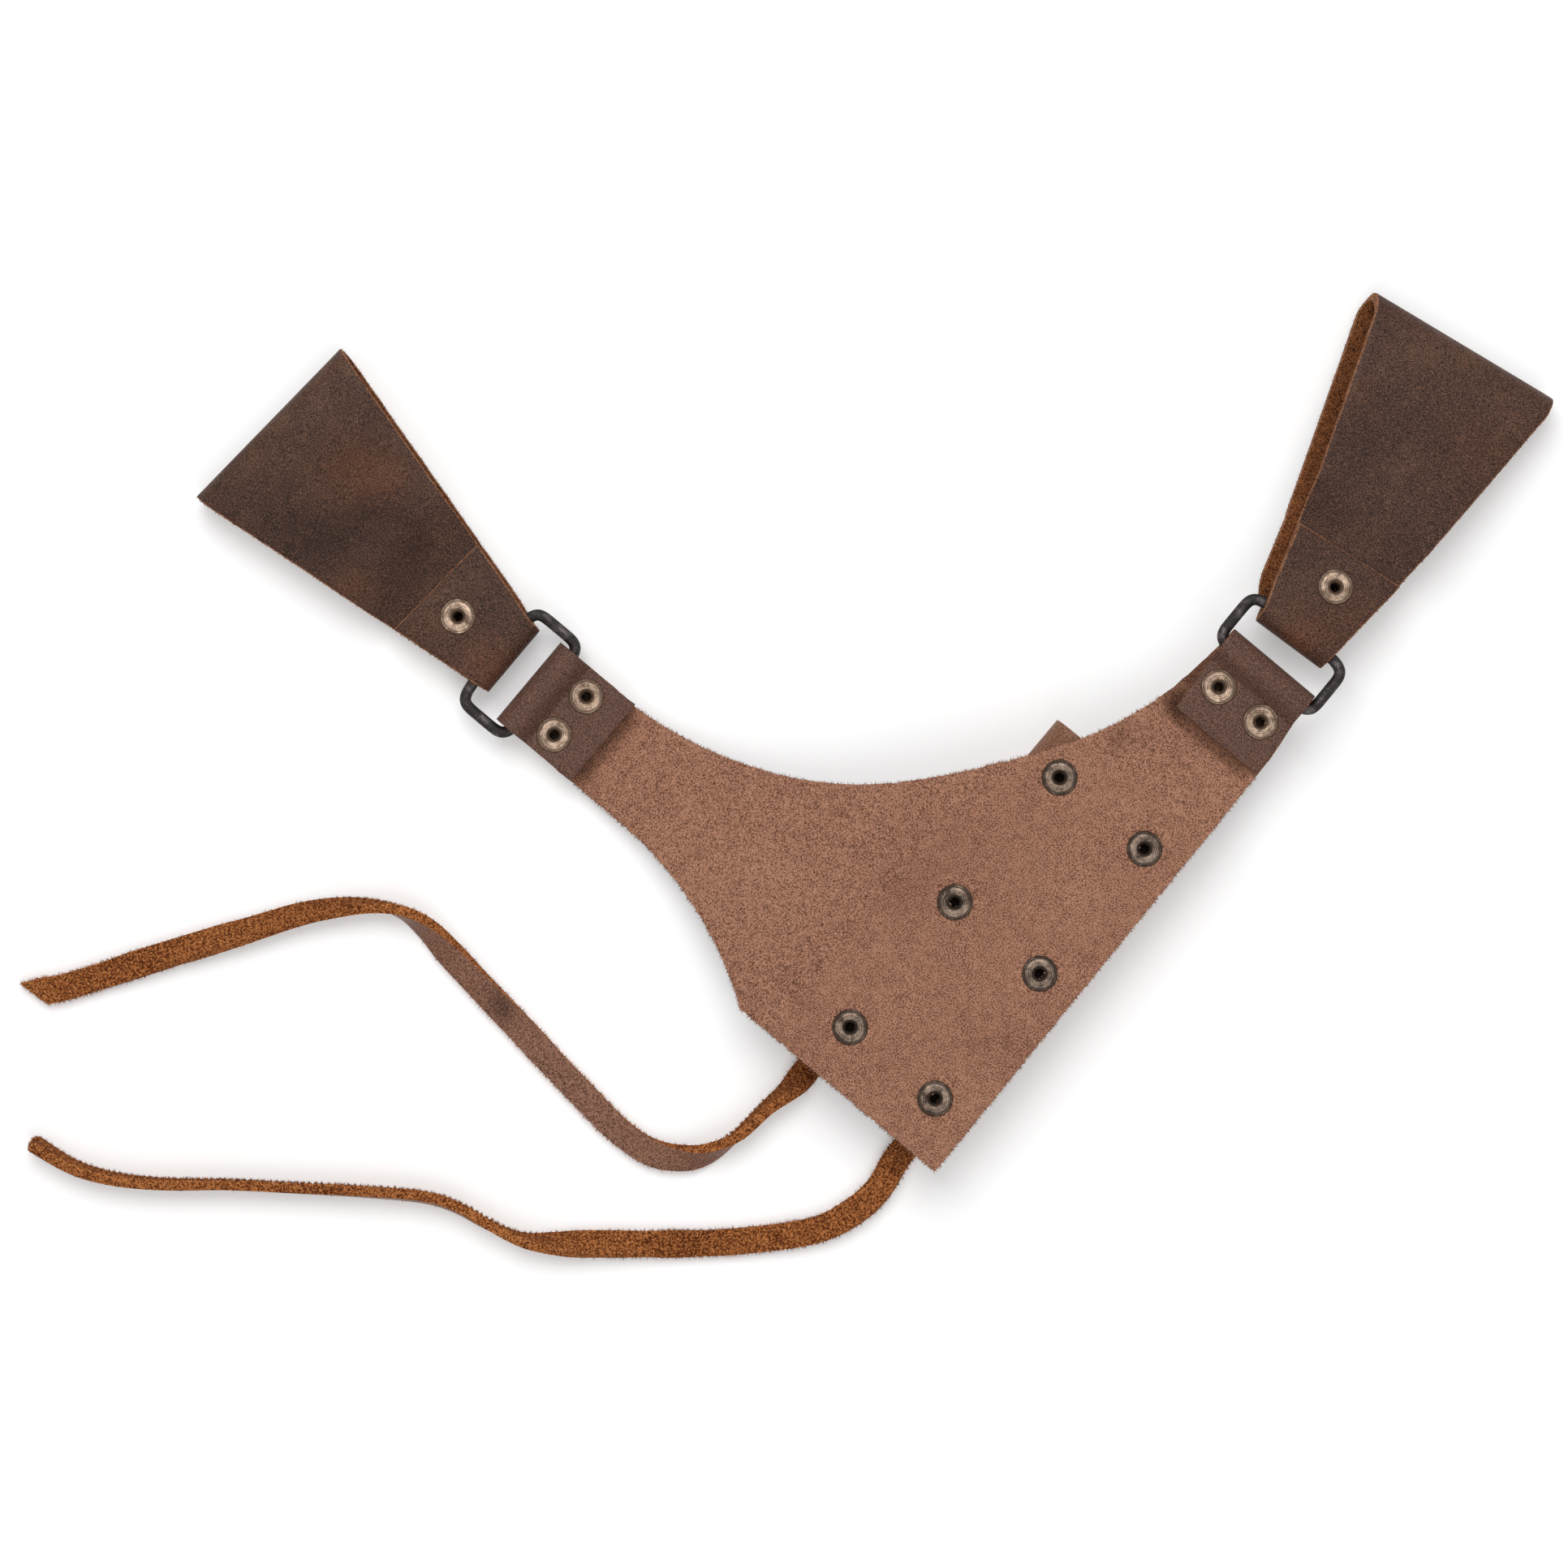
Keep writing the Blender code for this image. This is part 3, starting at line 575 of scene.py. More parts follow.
# lace: the dark spots and end cuts are in mm
lace = {
    "width": 6.7 * mm,
    "thickness": 2.6 * mm,
    "columns": 6,
    "step": 1.6 * mm,
    "roundness": 0.35 * mm,
    "play": 0.9 * mm,
    "uneven": (9 * mm, 0.06),
    "steepest": 0.3,
    "edgeFibres": 0.22 * mm,
    "faceFibres": 2.4e6,
    "darkFibres": 1.3e6,
    "dark": ((14.9, -165.2, 4.5, 0.8), (17, -165.6, 3, 0.4)),
    "slantedEnd": (((0.3, -1.7), (8.1, 3.6)), ((0.3, -1.7), (6, -3.6))),
    "roundEnd": (((0, -0.2), (1.8, 1.2)), ((0, 0.2), (1.8, -1.2))),
    "finishes": ["laceFlesh", "laceGrain", "laceFlesh"],
}
# free lace ends: plan position in mm and the thong's turn from flat in degrees
leftLaceRoute = (
    (86, -125.9, 0), (86, -128.4, 20), (85.9, -131.4, 46), (85.4, -135.4, 68), (84.3, -141, 80),
    (83.2, -150.9, 88), (80.2, -159.6, 122), (75.6, -164.9, 154), (68.6, -168.7, 174),
    (58.7, -169.7, 180), (46.5, -168.6, 180), (34.3, -167.3, 180), (22.6, -165.8, 178),
    (9.6, -164.3, 170), (-2.7, -162.7, 152), (-11.3, -161.6, 126), (-18.8, -162.4, 100),
    (-25.5, -165.9, 82), (-31.9, -171.6, 66), (-38.6, -179.6, 54), (-46.6, -192, 42),
    (-58.2, -209.6, 18), (-67.5, -224.6, 2), (-74.6, -235, 0), (-81.2, -240.6, 0),
)
rightLaceRoute = (
    (118, -125.9, 0), (118, -128.4, 0), (118.5, -132.4, 10), (119.4, -137.5, 18),
    (118.9, -144.5, 16), (116, -153.3, 10), (110.8, -160.9, 5), (99.5, -172.9, 0), (87.1, -184, 2),
    (74.3, -194.6, 24), (64.9, -202.2, 60), (57.6, -206.9, 86), (48.6, -209.4, 97),
    (39.7, -211.2, 100), (31.5, -214.8, 100), (18.1, -224.2, 98), (4.9, -234.2, 96),
    (-8.4, -244.3, 94), (-20.6, -254.3, 90), (-31.2, -261.5, 87), (-41.5, -266, 83),
    (-54.2, -268, 78),
)


def smoothRoute(route, step):
    # points along a smooth curve through the route, its turn included
    values = [Vector(point) for point in route]
    fine = []
    for i in range(len(values) - 1):
        before = values[max(i - 1, 0)]
        first, second = values[i], values[i + 1]
        after = values[min(i + 2, len(values) - 1)]
        count = max(1, round((second.xy - first.xy).length * mm / step))
        for k in range(count):
            t = k / count
            point = 2 * first + (second - before) * t
            point += (2 * before - 5 * first + 4 * second - after) * t * t
            point += (3 * first - before - 3 * second + after) * t * t * t
            fine.append(point / 2)
    fine.append(values[-1])
    return fine


def laceStations(points, turns):
    stations = []
    side = Vector((0, 0, 0))
    for i, (point, turn) in enumerate(zip(points, turns)):
        ahead = points[min(i + 1, len(points) - 1)] - points[max(i - 1, 0)]
        across = Vector((-ahead.y, ahead.x, 0))
        if across.length > lace["steepest"] * ahead.length:
            side = across.normalized() if across.dot(side) >= 0 else -across.normalized()
        uneven = 1 + wander(point, *lace["uneven"])
        tilted = side * math.cos(turn) + up * math.sin(turn)
        stations.append((point.copy(), tilted * (lace["width"] / 2) * uneven))
    return stations


def trimEnd(shape, end, ahead, cuts):
    # each cut is a line through two points, back from the end and aside, and takes off the tip beyond it
    aside = up.cross(ahead)
    for cut in cuts:
        first, second = (end - ahead * back * mm + aside * across * mm for back, across in cut)
        normal = (second - first).cross(up).normalized()
        if normal.dot(ahead) < 0:
            normal.negate()
        bmesh.ops.bisect_plane(
            shape, geom=allParts(shape), plane_co=first, plane_no=normal, clear_outer=True, dist=cutReach
        )


def freeLace(node, route, cuts):
    points, turns = [], []
    for x, y, degrees in smoothRoute(route, lace["step"]):
        turn = math.radians(degrees)
        lift = (lace["width"] * abs(math.sin(turn)) + lace["thickness"] * abs(math.cos(turn))) / 2
        points.append(Vector((x * mm, y * mm, lift)))
        turns.append(turn)
    shape = sheetAlong(laceStations(points, turns), lace["columns"])
    faceOut(shape, up)
    ahead = (points[-1] - points[-4]) * Vector((1, 1, 0))
    trimEnd(shape, points[-1], ahead.normalized(), cuts)
    spots = edgeSpots(shape, lace["edgeFibres"], lace["thickness"])
    spots += faceSpots(shape, lace["faceFibres"], lace["thickness"] / 2)
    darkSpots = faceSpots(shape, lace["darkFibres"], lace["thickness"] / 2)
    stain(shape, Matrix(), "dark", lace["dark"])
    piece = finishSheet(node, shape, "frog_body", lace)
    fuzz = makeFibres(piece.name + "Fibres", spots, "frog_body", "laceFlesh")
    shade = makeFibres(piece.name + "DarkFibres", darkSpots, "frog_body", "laceShade")


freeLace("left_lace_end", leftLaceRoute, lace["slantedEnd"])
freeLace("right_lace_end", rightLaceRoute, lace["roundEnd"])
print("free laces laid")

# each rivet's place, lean, body and finish
rivet = {
    "steps": 48,
    "sink": 0.25 * mm,
    "flange": 0.9 * mm,
    "flangeRadius": 4.5 * mm,
    "capHalf": 1 * mm,
    "merge": 0.005 * mm,
    "hole": 1.9 * mm,
    "sleeveHole": 2 * mm,
    "grip": 6 * mm,
}
rivets = {}
for node in sorted(frame["nodes"]):
    if node.endswith("_rivet_post"):
        low, high = boxCorners(node)
        side = node.split("_")[0]
        tilted = "_loop_" in node
        normal = Vector(mounts[side + "_loop_face"]["axis"]) if tilted else up
        body = side + "_loop_body" if tilted else "frog_body"
        finish = "hemBrass" if tilted or "_hem_" in node else "panelBrass"
        rivets[node[:-5]] = {"middle": (low + high) / 2, "normal": normal, "body": body, "finish": finish}


def punchHoles(shape, names, radius):
    # opens the leather where a rivet's post goes through, under its flange
    for name in names:
        middle, normal = rivets[name]["middle"], rivets[name]["normal"]
        gone = []
        for face in shape.faces:
            offset = face.calc_center_median() - middle
            rise = offset.dot(normal)
            if abs(rise) < rivet["grip"] and (offset - normal * rise).length < radius:
                gone.append(face)
        bmesh.ops.delete(shape, geom=gone, context="FACES")


# sleeve: flat tube under the panel, laced across its open side
sleeveLow, sleeveHigh = boxCorners("scabbard_sleeve")
sleeve = {
    "centre": (sleeveLow + sleeveHigh).xy / 2 + Vector((0, 0.3 * mm)),
    "halfWidth": (sleeveHigh.x - sleeveLow.x) / 2,
    "low": sleeveLow.z + half,
    "high": sleeveHigh.z - half,
    "wingEdge": 9.4 * mm,
    "rows": (38 * mm, 2 * mm, -34 * mm),
    "slotColumn": 14.4 * mm,
    "slotSize": (lace["thickness"] + 2 * lace["play"], lace["width"] + 2 * lace["play"]),
    "slotNear": (9 * mm, 12 * mm),
    "wingRise": 1 * mm,
    "wingSteps": 3,
    "rollSteps": 14,
    "topSteps": 18,
    "columns": 52,
    "roundness": 0.3 * mm,
    "finishes": ["sleeveGrain", "loopFlesh", "cutEdge"],
}


def wingFaces(shape, x, y, reach):
    # faces of the lower wings within reach of a place
    found = []
    for face in shape.faces:
        middle = face.calc_center_median()
        low = middle.z < sleeve["low"] + sleeve["wingRise"]
        if low and abs(middle.x - x) < reach[0] and abs(middle.y - y) < reach[1]:
            found.append(face)
    return found


def cutSlot(shape, x, y):
    # opens a slot by cutting the sheet along the slot's sides and removing the faces inside
    reach = [size / 2 for size in sleeve["slotSize"]]
    for axis, offset in ((0, x - reach[0]), (0, x + reach[0]), (1, y - reach[1]), (1, y + reach[1])):
        near = wingFaces(shape, x, y, sleeve["slotNear"])
        borders = (part for face in near for part in list(face.verts) + list(face.edges))
        axisCut(shape, list(dict.fromkeys(borders)) + near, axis, offset)
    bmesh.ops.delete(shape, geom=wingFaces(shape, x, y, reach), context="FACES")


def makeSleeve():
    radius = (sleeve["high"] - sleeve["low"]) / 2
    middle = (sleeve["high"] + sleeve["low"]) / 2
    roll = sleeve["halfWidth"] - radius - half
    path = [(-sleeve["wingEdge"], sleeve["low"])]
    path += linePoints(path[-1], (-roll, sleeve["low"]), sleeve["wingSteps"])
    path += arcPoints((-roll, middle), radius, 270, 90, sleeve["rollSteps"])[1:]
    path += linePoints(path[-1], (roll, sleeve["high"]), sleeve["topSteps"])
    path += arcPoints((roll, middle), radius, 90, -90, sleeve["rollSteps"])[1:]
    path += linePoints(path[-1], (sleeve["wingEdge"], sleeve["low"]), sleeve["wingSteps"])
    reach = Vector((0, (sleeveHigh.y - sleeveLow.y) / 2, 0))
    centre = (sleeveLow.y + sleeveHigh.y) / 2
    stations = [(Vector((sleeve["centre"].x + x, centre, z)), reach) for x, z in path]
    shape = sheetAlong(stations, sleeve["columns"])
    faceOut(shape, -up)
    for side in (-1, 1):
        for row in sleeve["rows"]:
            cutSlot(shape, sleeve["centre"].x + side * sleeve["slotColumn"], sleeve["centre"].y + row)
    held = [name for name in rivets if rivets[name]["finish"] == "panelBrass"]
    punchHoles(shape, held, rivet["sleeveHole"])
    finishSheet("scabbard_sleeve", shape, "frog_body", sleeve)


makeSleeve()

# lacing: one thong through the slots from side to side, its two feet at the sleeve's mouth
lacing = {
    "gap": 0.5 * mm,
    "cross": 1.7 * mm,
    "climb": (0.3, 0.7),
    "hump": (0.25, 0.5, 0.75),
    "feet": {-1: 14.6 * mm, 1: 17.4 * mm},
    "footEnd": -55.6 * mm,
    "footReady": 0.8,
    "bend": 0.62,
    "bendBack": 0.2,
    "turnSteps": 12,
    "crossSteps": 20,
    "bendSteps": 9,
    "runSteps": 8,
}
lacing["offset"] = half + lacing["gap"] + lace["thickness"] / 2
lacing["turnIn"] = sleeve["slotColumn"] - lacing["offset"]


def slotTurn(side, row):
    points = arcPoints((lacing["turnIn"], 0), lacing["offset"], 90, -90, lacing["turnSteps"])
    return [Vector((side * x, row, z)) for x, z in points]


def laceCrossing(side, row, nextRow, cross):
    points = []
    offset = lacing["offset"]
    start, top, end = lacing["hump"]
    for t in shares(lacing["crossSteps"])[:-1]:
        rise = 2 * offset * smoothStep(t, *lacing["climb"]) - offset
        bump = cross * (smoothStep(t, start, top) - smoothStep(t, top, end))
        x = side * lacing["turnIn"] * (1 - 2 * t)
        y = row + (nextRow - row) * smoothStep(t, 0, 1)
        points.append(Vector((x, y, max(rise + bump, -offset))))
    return points


def laceFoot(side, row):
    bend = lacing["turnIn"] * lacing["bend"]
    middle = lacing["turnIn"] - bend * lacing["bendBack"]
    points = []
    for i in range(1, lacing["bendSteps"] + 1):
        angle = math.pi / 2 * i / lacing["bendSteps"]
        x = side * (middle - bend * math.sin(angle))
        y = row - bend * (1 - math.cos(angle))
        points.append(Vector((x, y, -lacing["offset"])))
    for t in shares(lacing["runSteps"]):
        aside = (lacing["feet"][side] - middle + bend) * smoothStep(t, 0, lacing["footReady"])
        y = row - bend + (lacing["footEnd"] - row + bend) * t
        points.append(Vector((side * (middle - bend + aside), y, -lacing["offset"])))
    return points


def lacingHalf(side):
    first, second, third = sleeve["rows"]
    points = [Vector((0, first, lacing["offset"]))]
    points += slotTurn(side, first)
    points += laceCrossing(side, first, second, side * lacing["cross"])
    points += slotTurn(-side, second)
    points += laceCrossing(-side, second, third, side * lacing["cross"])
    points += slotTurn(side, third)
    points += laceFoot(side, third)
    return points


def makeLacing():
    origin = Vector((*sleeve["centre"], sleeve["low"]))
    route = [origin + point for point in lacingHalf(-1)[::-1] + lacingHalf(1)[1:]]
    shape = sheetAlong(laceStations(route, [0] * len(route)), lace["columns"])
    faceOut(shape, up)
    finishSheet("lace_crossing", shape, "frog_body", lace)


makeLacing()
print("sleeve laced")

# back panel: plan outline, drape of the arms and the hems round the rings
panelLow, panelHigh = boxCorners("back_panel")
leftHinge = hingeSpot("left_ring_hinge")
rightHinge = hingeSpot("right_ring_hinge")
panel = {
    "level": sleeve["high"] + leather["ply"],
    "bottom": panelLow.y,
    "left": 62.6 * mm,
    "right": panelHigh.x,
    "upperCentre": Vector((-14.4, 26.2)) * mm,
    "upperRadius": 110.6 * mm,
    "swell": 3.6 * mm,
    "swellAt": math.radians(-36),
    "swellSpread": math.radians(17),
    "upperEnd": 16 * mm,
    "lowerStart": 10 * mm,
    "leftWidth": 25.4 * mm,
    "rightWidth": 26.4 * mm,
    "rightBulge": 1.8 * mm,
    "hemDrift": {"left": 0, "right": 1.2 * mm},
    "hemLength": 24.6 * mm,
    "hemEase": 0.8 * mm,
    "rivetInset": 13.8 * mm,
    "flange": 4.5 * mm,
    "leftDrape": (74 * mm, -4 * mm),
    "rightDrape": (-18 * mm, 4 * mm),
    "cell": 1.6 * mm,
    "lowerSteps": 24,
    "upperSteps": 60,
    "bulgeEnd": 0.6,
    "hemTop": 0.6 * mm,
    "hemSteps": (14, 9, 12),
    "hingeReach": 0.01 * mm,
    "wave": (14 * mm, 0.08 * mm),
    "looseFrom": (6 * mm, 16 * mm),
    "dimple": 0.18 * mm,
    "dimpleReach": (3.5 * mm, 7.5 * mm),
    "edgeWave": (1.7 * mm, 0.22 * mm),
    "merge": 0.2 * mm,
    "edgeFibres": 0.2 * mm,
    "fibreMargin": 4 * mm,
    "roundness": 0.35 * mm,
    "finishes": ["panelFlesh", "panelGrain", "cutEdge"],
    # painted shade spots, in mm from the frame's origin with radius and amount: dark strips beside the
    # right hem along the arm's edge, one near the right arm, and one faint broad darkening mid-panel
    "soil": (
        (77.3, -66.9, 18, 0.12), (96.8, 3, 2.6, 0.6), (96.5, 6, 3, 0.9),
        (96, 12, 3, 0.9), (95.5, 18, 3, 0.9), (92, -12, 3, 0.5),
    ),
}
panel["soil"] += tuple((x, 1.8, 1.6, 0.6) for x in range(99, 123, 2))  # painted shadow line under the free end of the right hem
panel["soil"] += tuple((-5.8, y, 1.6, 0.55) for y in range(-107, -85, 2))  # and under the free end of the left hem
panel["turn"] = leftHinge.x - panelLow.x - half
panel["leftLevel"] = leftHinge.z - panel["turn"]
panel["rightLevel"] = rightHinge.z - panel["turn"]


def panelHeight(x, y):
    left = smoothStep(x, *panel["leftDrape"])
    right = smoothStep(y, *panel["rightDrape"])
    drop = (panel["level"] - panel["leftLevel"]) * left + (panel["level"] - panel["rightLevel"]) * right
    return panel["level"] - drop


def panelOutline():
    leftLow = leftHinge.y - panel["leftWidth"] / 2
    leftHigh = leftHinge.y + panel["leftWidth"] / 2
    rightLow = rightHinge.x - panel["rightWidth"] / 2
    rightHigh = rightHinge.x + panel["rightWidth"] / 2
    points = [(leftHinge.x, leftHigh), (leftHinge.x, leftLow)]
    run = panel["left"] - panel["lowerStart"]
    drop = leftLow - panel["bottom"]
    radius = (run * run + drop * drop) / (2 * drop)
    reach = math.asin(run / radius)
    for i in range(panel["lowerSteps"] + 1):
        angle = reach * i / panel["lowerSteps"]
        x = panel["lowerStart"] + radius * math.sin(angle)
        points.append((x, leftLow - radius * (1 - math.cos(angle))))
    bulge = rightHigh + panel["rightBulge"]
    points += [(panel["right"], panel["bottom"]), (bulge, panel["rightDrape"][0])]
    points.append((bulge, rightHinge.y - panel["hemLength"] * panel["bulgeEnd"]))
    points += [(rightHigh, rightHinge.y), (rightLow, rightHinge.y)]
    centre, radius = panel["upperCentre"], panel["upperRadius"]
    end = math.asin((panel["upperEnd"] - centre.y) / radius)
    for i in range(panel["upperSteps"] + 1):
        angle = end + (-math.pi / 2 - end) * i / panel["upperSteps"]
        spread = (angle - panel["swellAt"]) / panel["swellSpread"]
        reach = radius - panel["swell"] * math.exp(-(spread**2))
        points.append((centre.x + reach * math.cos(angle), centre.y + reach * math.sin(angle)))
    return points


def hemPath():
    turn = panel["turn"]
    flat = panel["rivetInset"] - turn - half - panel["flange"] - leather["gap"]
    turnSteps, slopeSteps, flatSteps = panel["hemSteps"]
    points = arcPoints((0, turn), turn, -90, 90, turnSteps)[1:]
    points.append((-panel["hemTop"], 2 * turn))
    points += slopePoints(points[-1], (-flat - panel["hemEase"], leather["ply"]), slopeSteps)
    points += linePoints(points[-1], (-(panel["hemLength"] - turn - half), leather["ply"]), flatSteps)
    return points


def gridCuts(shape, axis, low, high, step):
    count = round((high - low) / step)
    for i in range(1, count):
        axisCut(shape, allParts(shape), axis, low + (high - low) * i / count)


def foldHem(shape, axis, hinge, level, outward, drift):
    # the arm's end row goes round the ring and back over the arm, drifting aside after the turn
    edges = []
    for edge in shape.edges:
        away = max(abs(vert.co[axis] - hinge[axis]) for vert in edge.verts)
        if edge.is_boundary and away < panel["hingeReach"]:
            edges.append(edge)
    path = hemPath()
    last = 0
    for i, (out, rise) in enumerate(path):
        share = smoothStep(i, panel["hemSteps"][0], len(path) - 1)
        verts, edges = extrudeRow(shape, edges)
        for vert in verts:
            vert.co[axis] = hinge[axis] + outward * out
            vert.co.z = level + rise
            vert.co[1 - axis] += drift * (share - last)
        last = share


def awayFromHinges(place):
    return min(place.x - leftHinge.x, rightHinge.y - place.y)


def roughenPanel(shape):
    # uneven cut edge, slight waves, and a dimple under each rivet
    centres = [one["middle"].xy for one in rivets.values() if one["finish"] == "panelBrass"]
    for vert in shape.verts:
        place = vert.co.copy()
        near = min((place.xy - centre).length for centre in centres)
        loose = smoothStep(awayFromHinges(place), *panel["looseFrom"])
        dimple = panel["dimple"] * (1 - smoothStep(near, *panel["dimpleReach"]))
        vert.co.z += wander(place, *panel["wave"]) * loose - dimple
        if vert.is_boundary:
            size, rough = panel["edgeWave"]
            vert.co.x += wander(place + Vector((1, 0, 0)), size, rough * loose)
            vert.co.y += wander(place + Vector((0, 1, 0)), size, rough * loose)


def makePanel():
    shape = bmesh.new()
    verts = [shape.verts.new((x, y, 0)) for x, y in panelOutline()]
    shape.faces.new(verts)
    gridCuts(shape, 0, panelLow.x, panelHigh.x, panel["cell"])
    gridCuts(shape, 1, panelLow.y, panelHigh.y, panel["cell"])
    for vert in shape.verts:
        vert.co.z = panelHeight(vert.co.x, vert.co.y)
    foldHem(shape, 0, leftHinge, panel["leftLevel"], -1, panel["hemDrift"]["left"])
    foldHem(shape, 1, rightHinge, panel["rightLevel"], 1, panel["hemDrift"]["right"])
    bmesh.ops.recalc_face_normals(shape, faces=shape.faces)
    faceOut(shape, up)
    roughenPanel(shape)
    bmesh.ops.remove_doubles(shape, verts=shape.verts, dist=panel["merge"])
    # painted shade: the panel's shade spots kept as a vertex attribute
    stain(shape, Matrix(), "soil", panel["soil"])
    spots = edgeSpots(shape, panel["edgeFibres"], leather["thickness"])
    clear = panel["hemLength"] - panel["fibreMargin"]
    spots = [spot for spot in spots if awayFromHinges(spot[0]) > clear]
    makeFibres("backPanelFibres", spots, "frog_body", "panelFlesh")
    held = [name for name in rivets if rivets[name]["body"] == "frog_body"]
    punchHoles(shape, held, rivet["hole"])
    finishSheet("back_panel", shape, "frog_body", panel)


makePanel()
print("panel draped")

# belt loops: one strip each, from the tab round the ring, out and back, with their stains in mm
loops = {
    "left": {
        "length": 87 * mm,
        "turnSkew": 0,
        "tabSkew": math.radians(-4.2),
        "skew": math.radians(-4.2),
        "shift": -1.4 * mm,
        "backShift": -0.6 * mm,
        "warm": (
            (57.5, -12, 9, 0.5), (49, -16, 6, 0.3), (39.1, 10.8, 5, 0.25),
            (0.4, 4.3, 7, 0.55), (18, 7.1, 6, 0.25), (50, 0, 40, 0.1),
        ),
        "dark": (
            (42, -5.5, 11, 0.5), (30, -6, 8, 0.35), (62.8, 8.7, 11, 0.3),
            (49.9, 9.8, 9, 0.3), (72, -22, 7, 0.2), (50, 0, 40, 0.5),
        ),
        "pale": (
            (77.1, -27.4, 9, 0.35), (76.4, -12.3, 9, 0.35), (78.8, 2.8, 9, 0.3),
            (19.5, -1.7, 9, 0.3), (61.9, -2.1, 5, 0.3),
        ),
    },
    "right": {
        "length": 88.2 * mm,
        "turnSkew": math.radians(3.5),
        "tabSkew": math.radians(5.9),
        "skew": math.radians(9.3),
        "shift": 0.5 * mm,
        "backShift": 3.4 * mm,
        "warm": (
            (-2.4, -1.3, 6, 0.65), (9.4, -9.4, 8, 0.3), (55.2, 29.1, 6, 0.2),
            (64.2, -5.5, 9, 0.2),
        ),
        "dark": (
            (46.8, 20, 12, 0.3), (53.5, 9.6, 10, 0.2), (28.7, 12.9, 10, 0.15),
            (15.4, 9.7, 7, 0.15),
        ),
        "pale": (
            (76.6, 25, 9, 0.35), (80.8, 10.5, 9, 0.35), (82.8, -3.8, 9, 0.35),
            (48.4, 7.4, 6, 0.35), (28, 4.2, 8, 0.25), (5.4, 7.3, 8, 0.3),
        ),
    },
}
loop = {
    "endWidth": 20 * mm,
    "foldWidth": 53 * mm,
    "tab": 27.2 * mm,
    "rivet": 17.6 * mm,
    "inside": 6.4 * mm,
    "turnPlay": 0.2 * mm,
    "turnTop": 0.6 * mm,
    "gripMargin": 1.6 * mm,
    "flatRun": 16 * mm,
    "overlap": 1 * mm,
    "turnBlend": (0, 8 * mm),
    "tabBlend": 3 * mm,
    "backBlend": (-6 * mm, 8 * mm),
    "columns": 20,
    "tabSteps": (10, 8, 16),
    "backSteps": (8, 32, 16),
    "frontSteps": (20, 12, 6),
    "edgeWave": (2.4 * mm, 0.12 * mm),
    "edgeFibres": 0.8 * mm,
    "fibreLength": 0.6,
    "roundness": 0.3 * mm,
    "finishes": ["loopGrain", "loopFlesh", "cutEdge"],
}
hingeOut = joints["left_loop_hinge"]["pos_m"][0]
loop["turn"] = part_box("left_belt_loop")[1][0] - hingeOut - half + loop["turnPlay"]
loop["edge"] = -(loop["turn"] + half)
loop["foldTurn"] = (loop["inside"] + leather["thickness"]) / 2


def strapFrame(origin, across, normal):
    # local X runs out along the strap, Y across it and Z out of its face
    out = across.cross(normal)
    turn = Matrix((out, across, normal)).transposed().to_4x4()
    turn.translation = origin
    return turn


def loopFrame(side):
    hinge = side + "_loop_hinge"
    normal = Vector(mounts[side + "_loop_face"]["axis"])
    return strapFrame(hingeSpot(hinge), -Vector(joints[hinge]["axis"]), normal)


def loopStation(side, out, rise, aside):
    one, place = loops[side], loopFrame(side)
    share = (out - loop["edge"]) / one["length"]
    reach = (loop["endWidth"] + (loop["foldWidth"] - loop["endWidth"]) * share) / 2
    tabEnd = loop["edge"] + loop["tab"]
    drift = min(out, 0) * math.tan(one["turnSkew"])
    drift += min(max(out, 0), tabEnd) * math.tan(one["tabSkew"])
    drift += max(out - tabEnd, 0) * math.tan(one["skew"])
    blend = loop["tabBlend"]
    lean = one["turnSkew"] + (one["tabSkew"] - one["turnSkew"]) * smoothStep(out, *loop["turnBlend"])
    lean += (one["skew"] - one["tabSkew"]) * smoothStep(out, tabEnd - blend, tabEnd + blend)
    across = Vector((-math.sin(lean), math.cos(lean), 0)) * reach
    return place @ Vector((out, aside + drift, rise)), place.to_3x3() @ across


def loopStations(side):
    shift, backShift = loops[side]["shift"], loops[side]["backShift"]
    radius = loop["foldTurn"]
    fold = loop["edge"] + loops[side]["length"] - radius - half
    back = -leather["ply"]
    grip = loop["edge"] + loop["rivet"] - panel["flange"] - loop["gripMargin"]
    tabEnd = loop["edge"] + loop["tab"]
    flat = tabEnd + loop["flatRun"]
    flatSteps, slopeSteps, turnSteps = loop["tabSteps"]
    tab = [(tabEnd, leather["ply"])]
    tab += linePoints(tab[-1], (grip, leather["ply"]), flatSteps)
    tab += slopePoints(tab[-1], (loop["turnTop"], loop["turn"]), slopeSteps)
    tab += arcPoints((0, 0), loop["turn"], 90, 270, turnSteps)
    slopeSteps, flatSteps, turnSteps = loop["backSteps"]
    backLeg = slopePoints(tab[-1], (grip, back), slopeSteps)
    backLeg += linePoints(backLeg[-1], (fold, back), flatSteps)
    foldTurn = arcPoints((fold, back + radius), radius, -90, 90, turnSteps)[1:]
    flatSteps, slopeSteps, endSteps = loop["frontSteps"]
    front = linePoints(foldTurn[-1], (flat, back + 2 * radius), flatSteps)
    front += slopePoints(front[-1], (tabEnd + loop["overlap"], 0), slopeSteps)
    front += linePoints(front[-1], (grip - loop["overlap"], 0), endSteps)
    stations = [loopStation(side, out, rise, shift) for out, rise in tab]
    for out, rise in backLeg:
        aside = shift + backShift * smoothStep(out, *loop["backBlend"])
        stations.append(loopStation(side, out, rise, aside))
    for i, (out, rise) in enumerate(foldTurn):
        aside = shift + backShift * (1 - (i + 1) / len(foldTurn))
        stations.append(loopStation(side, out, rise, aside))
    return stations + [loopStation(side, out, rise, shift) for out, rise in front]


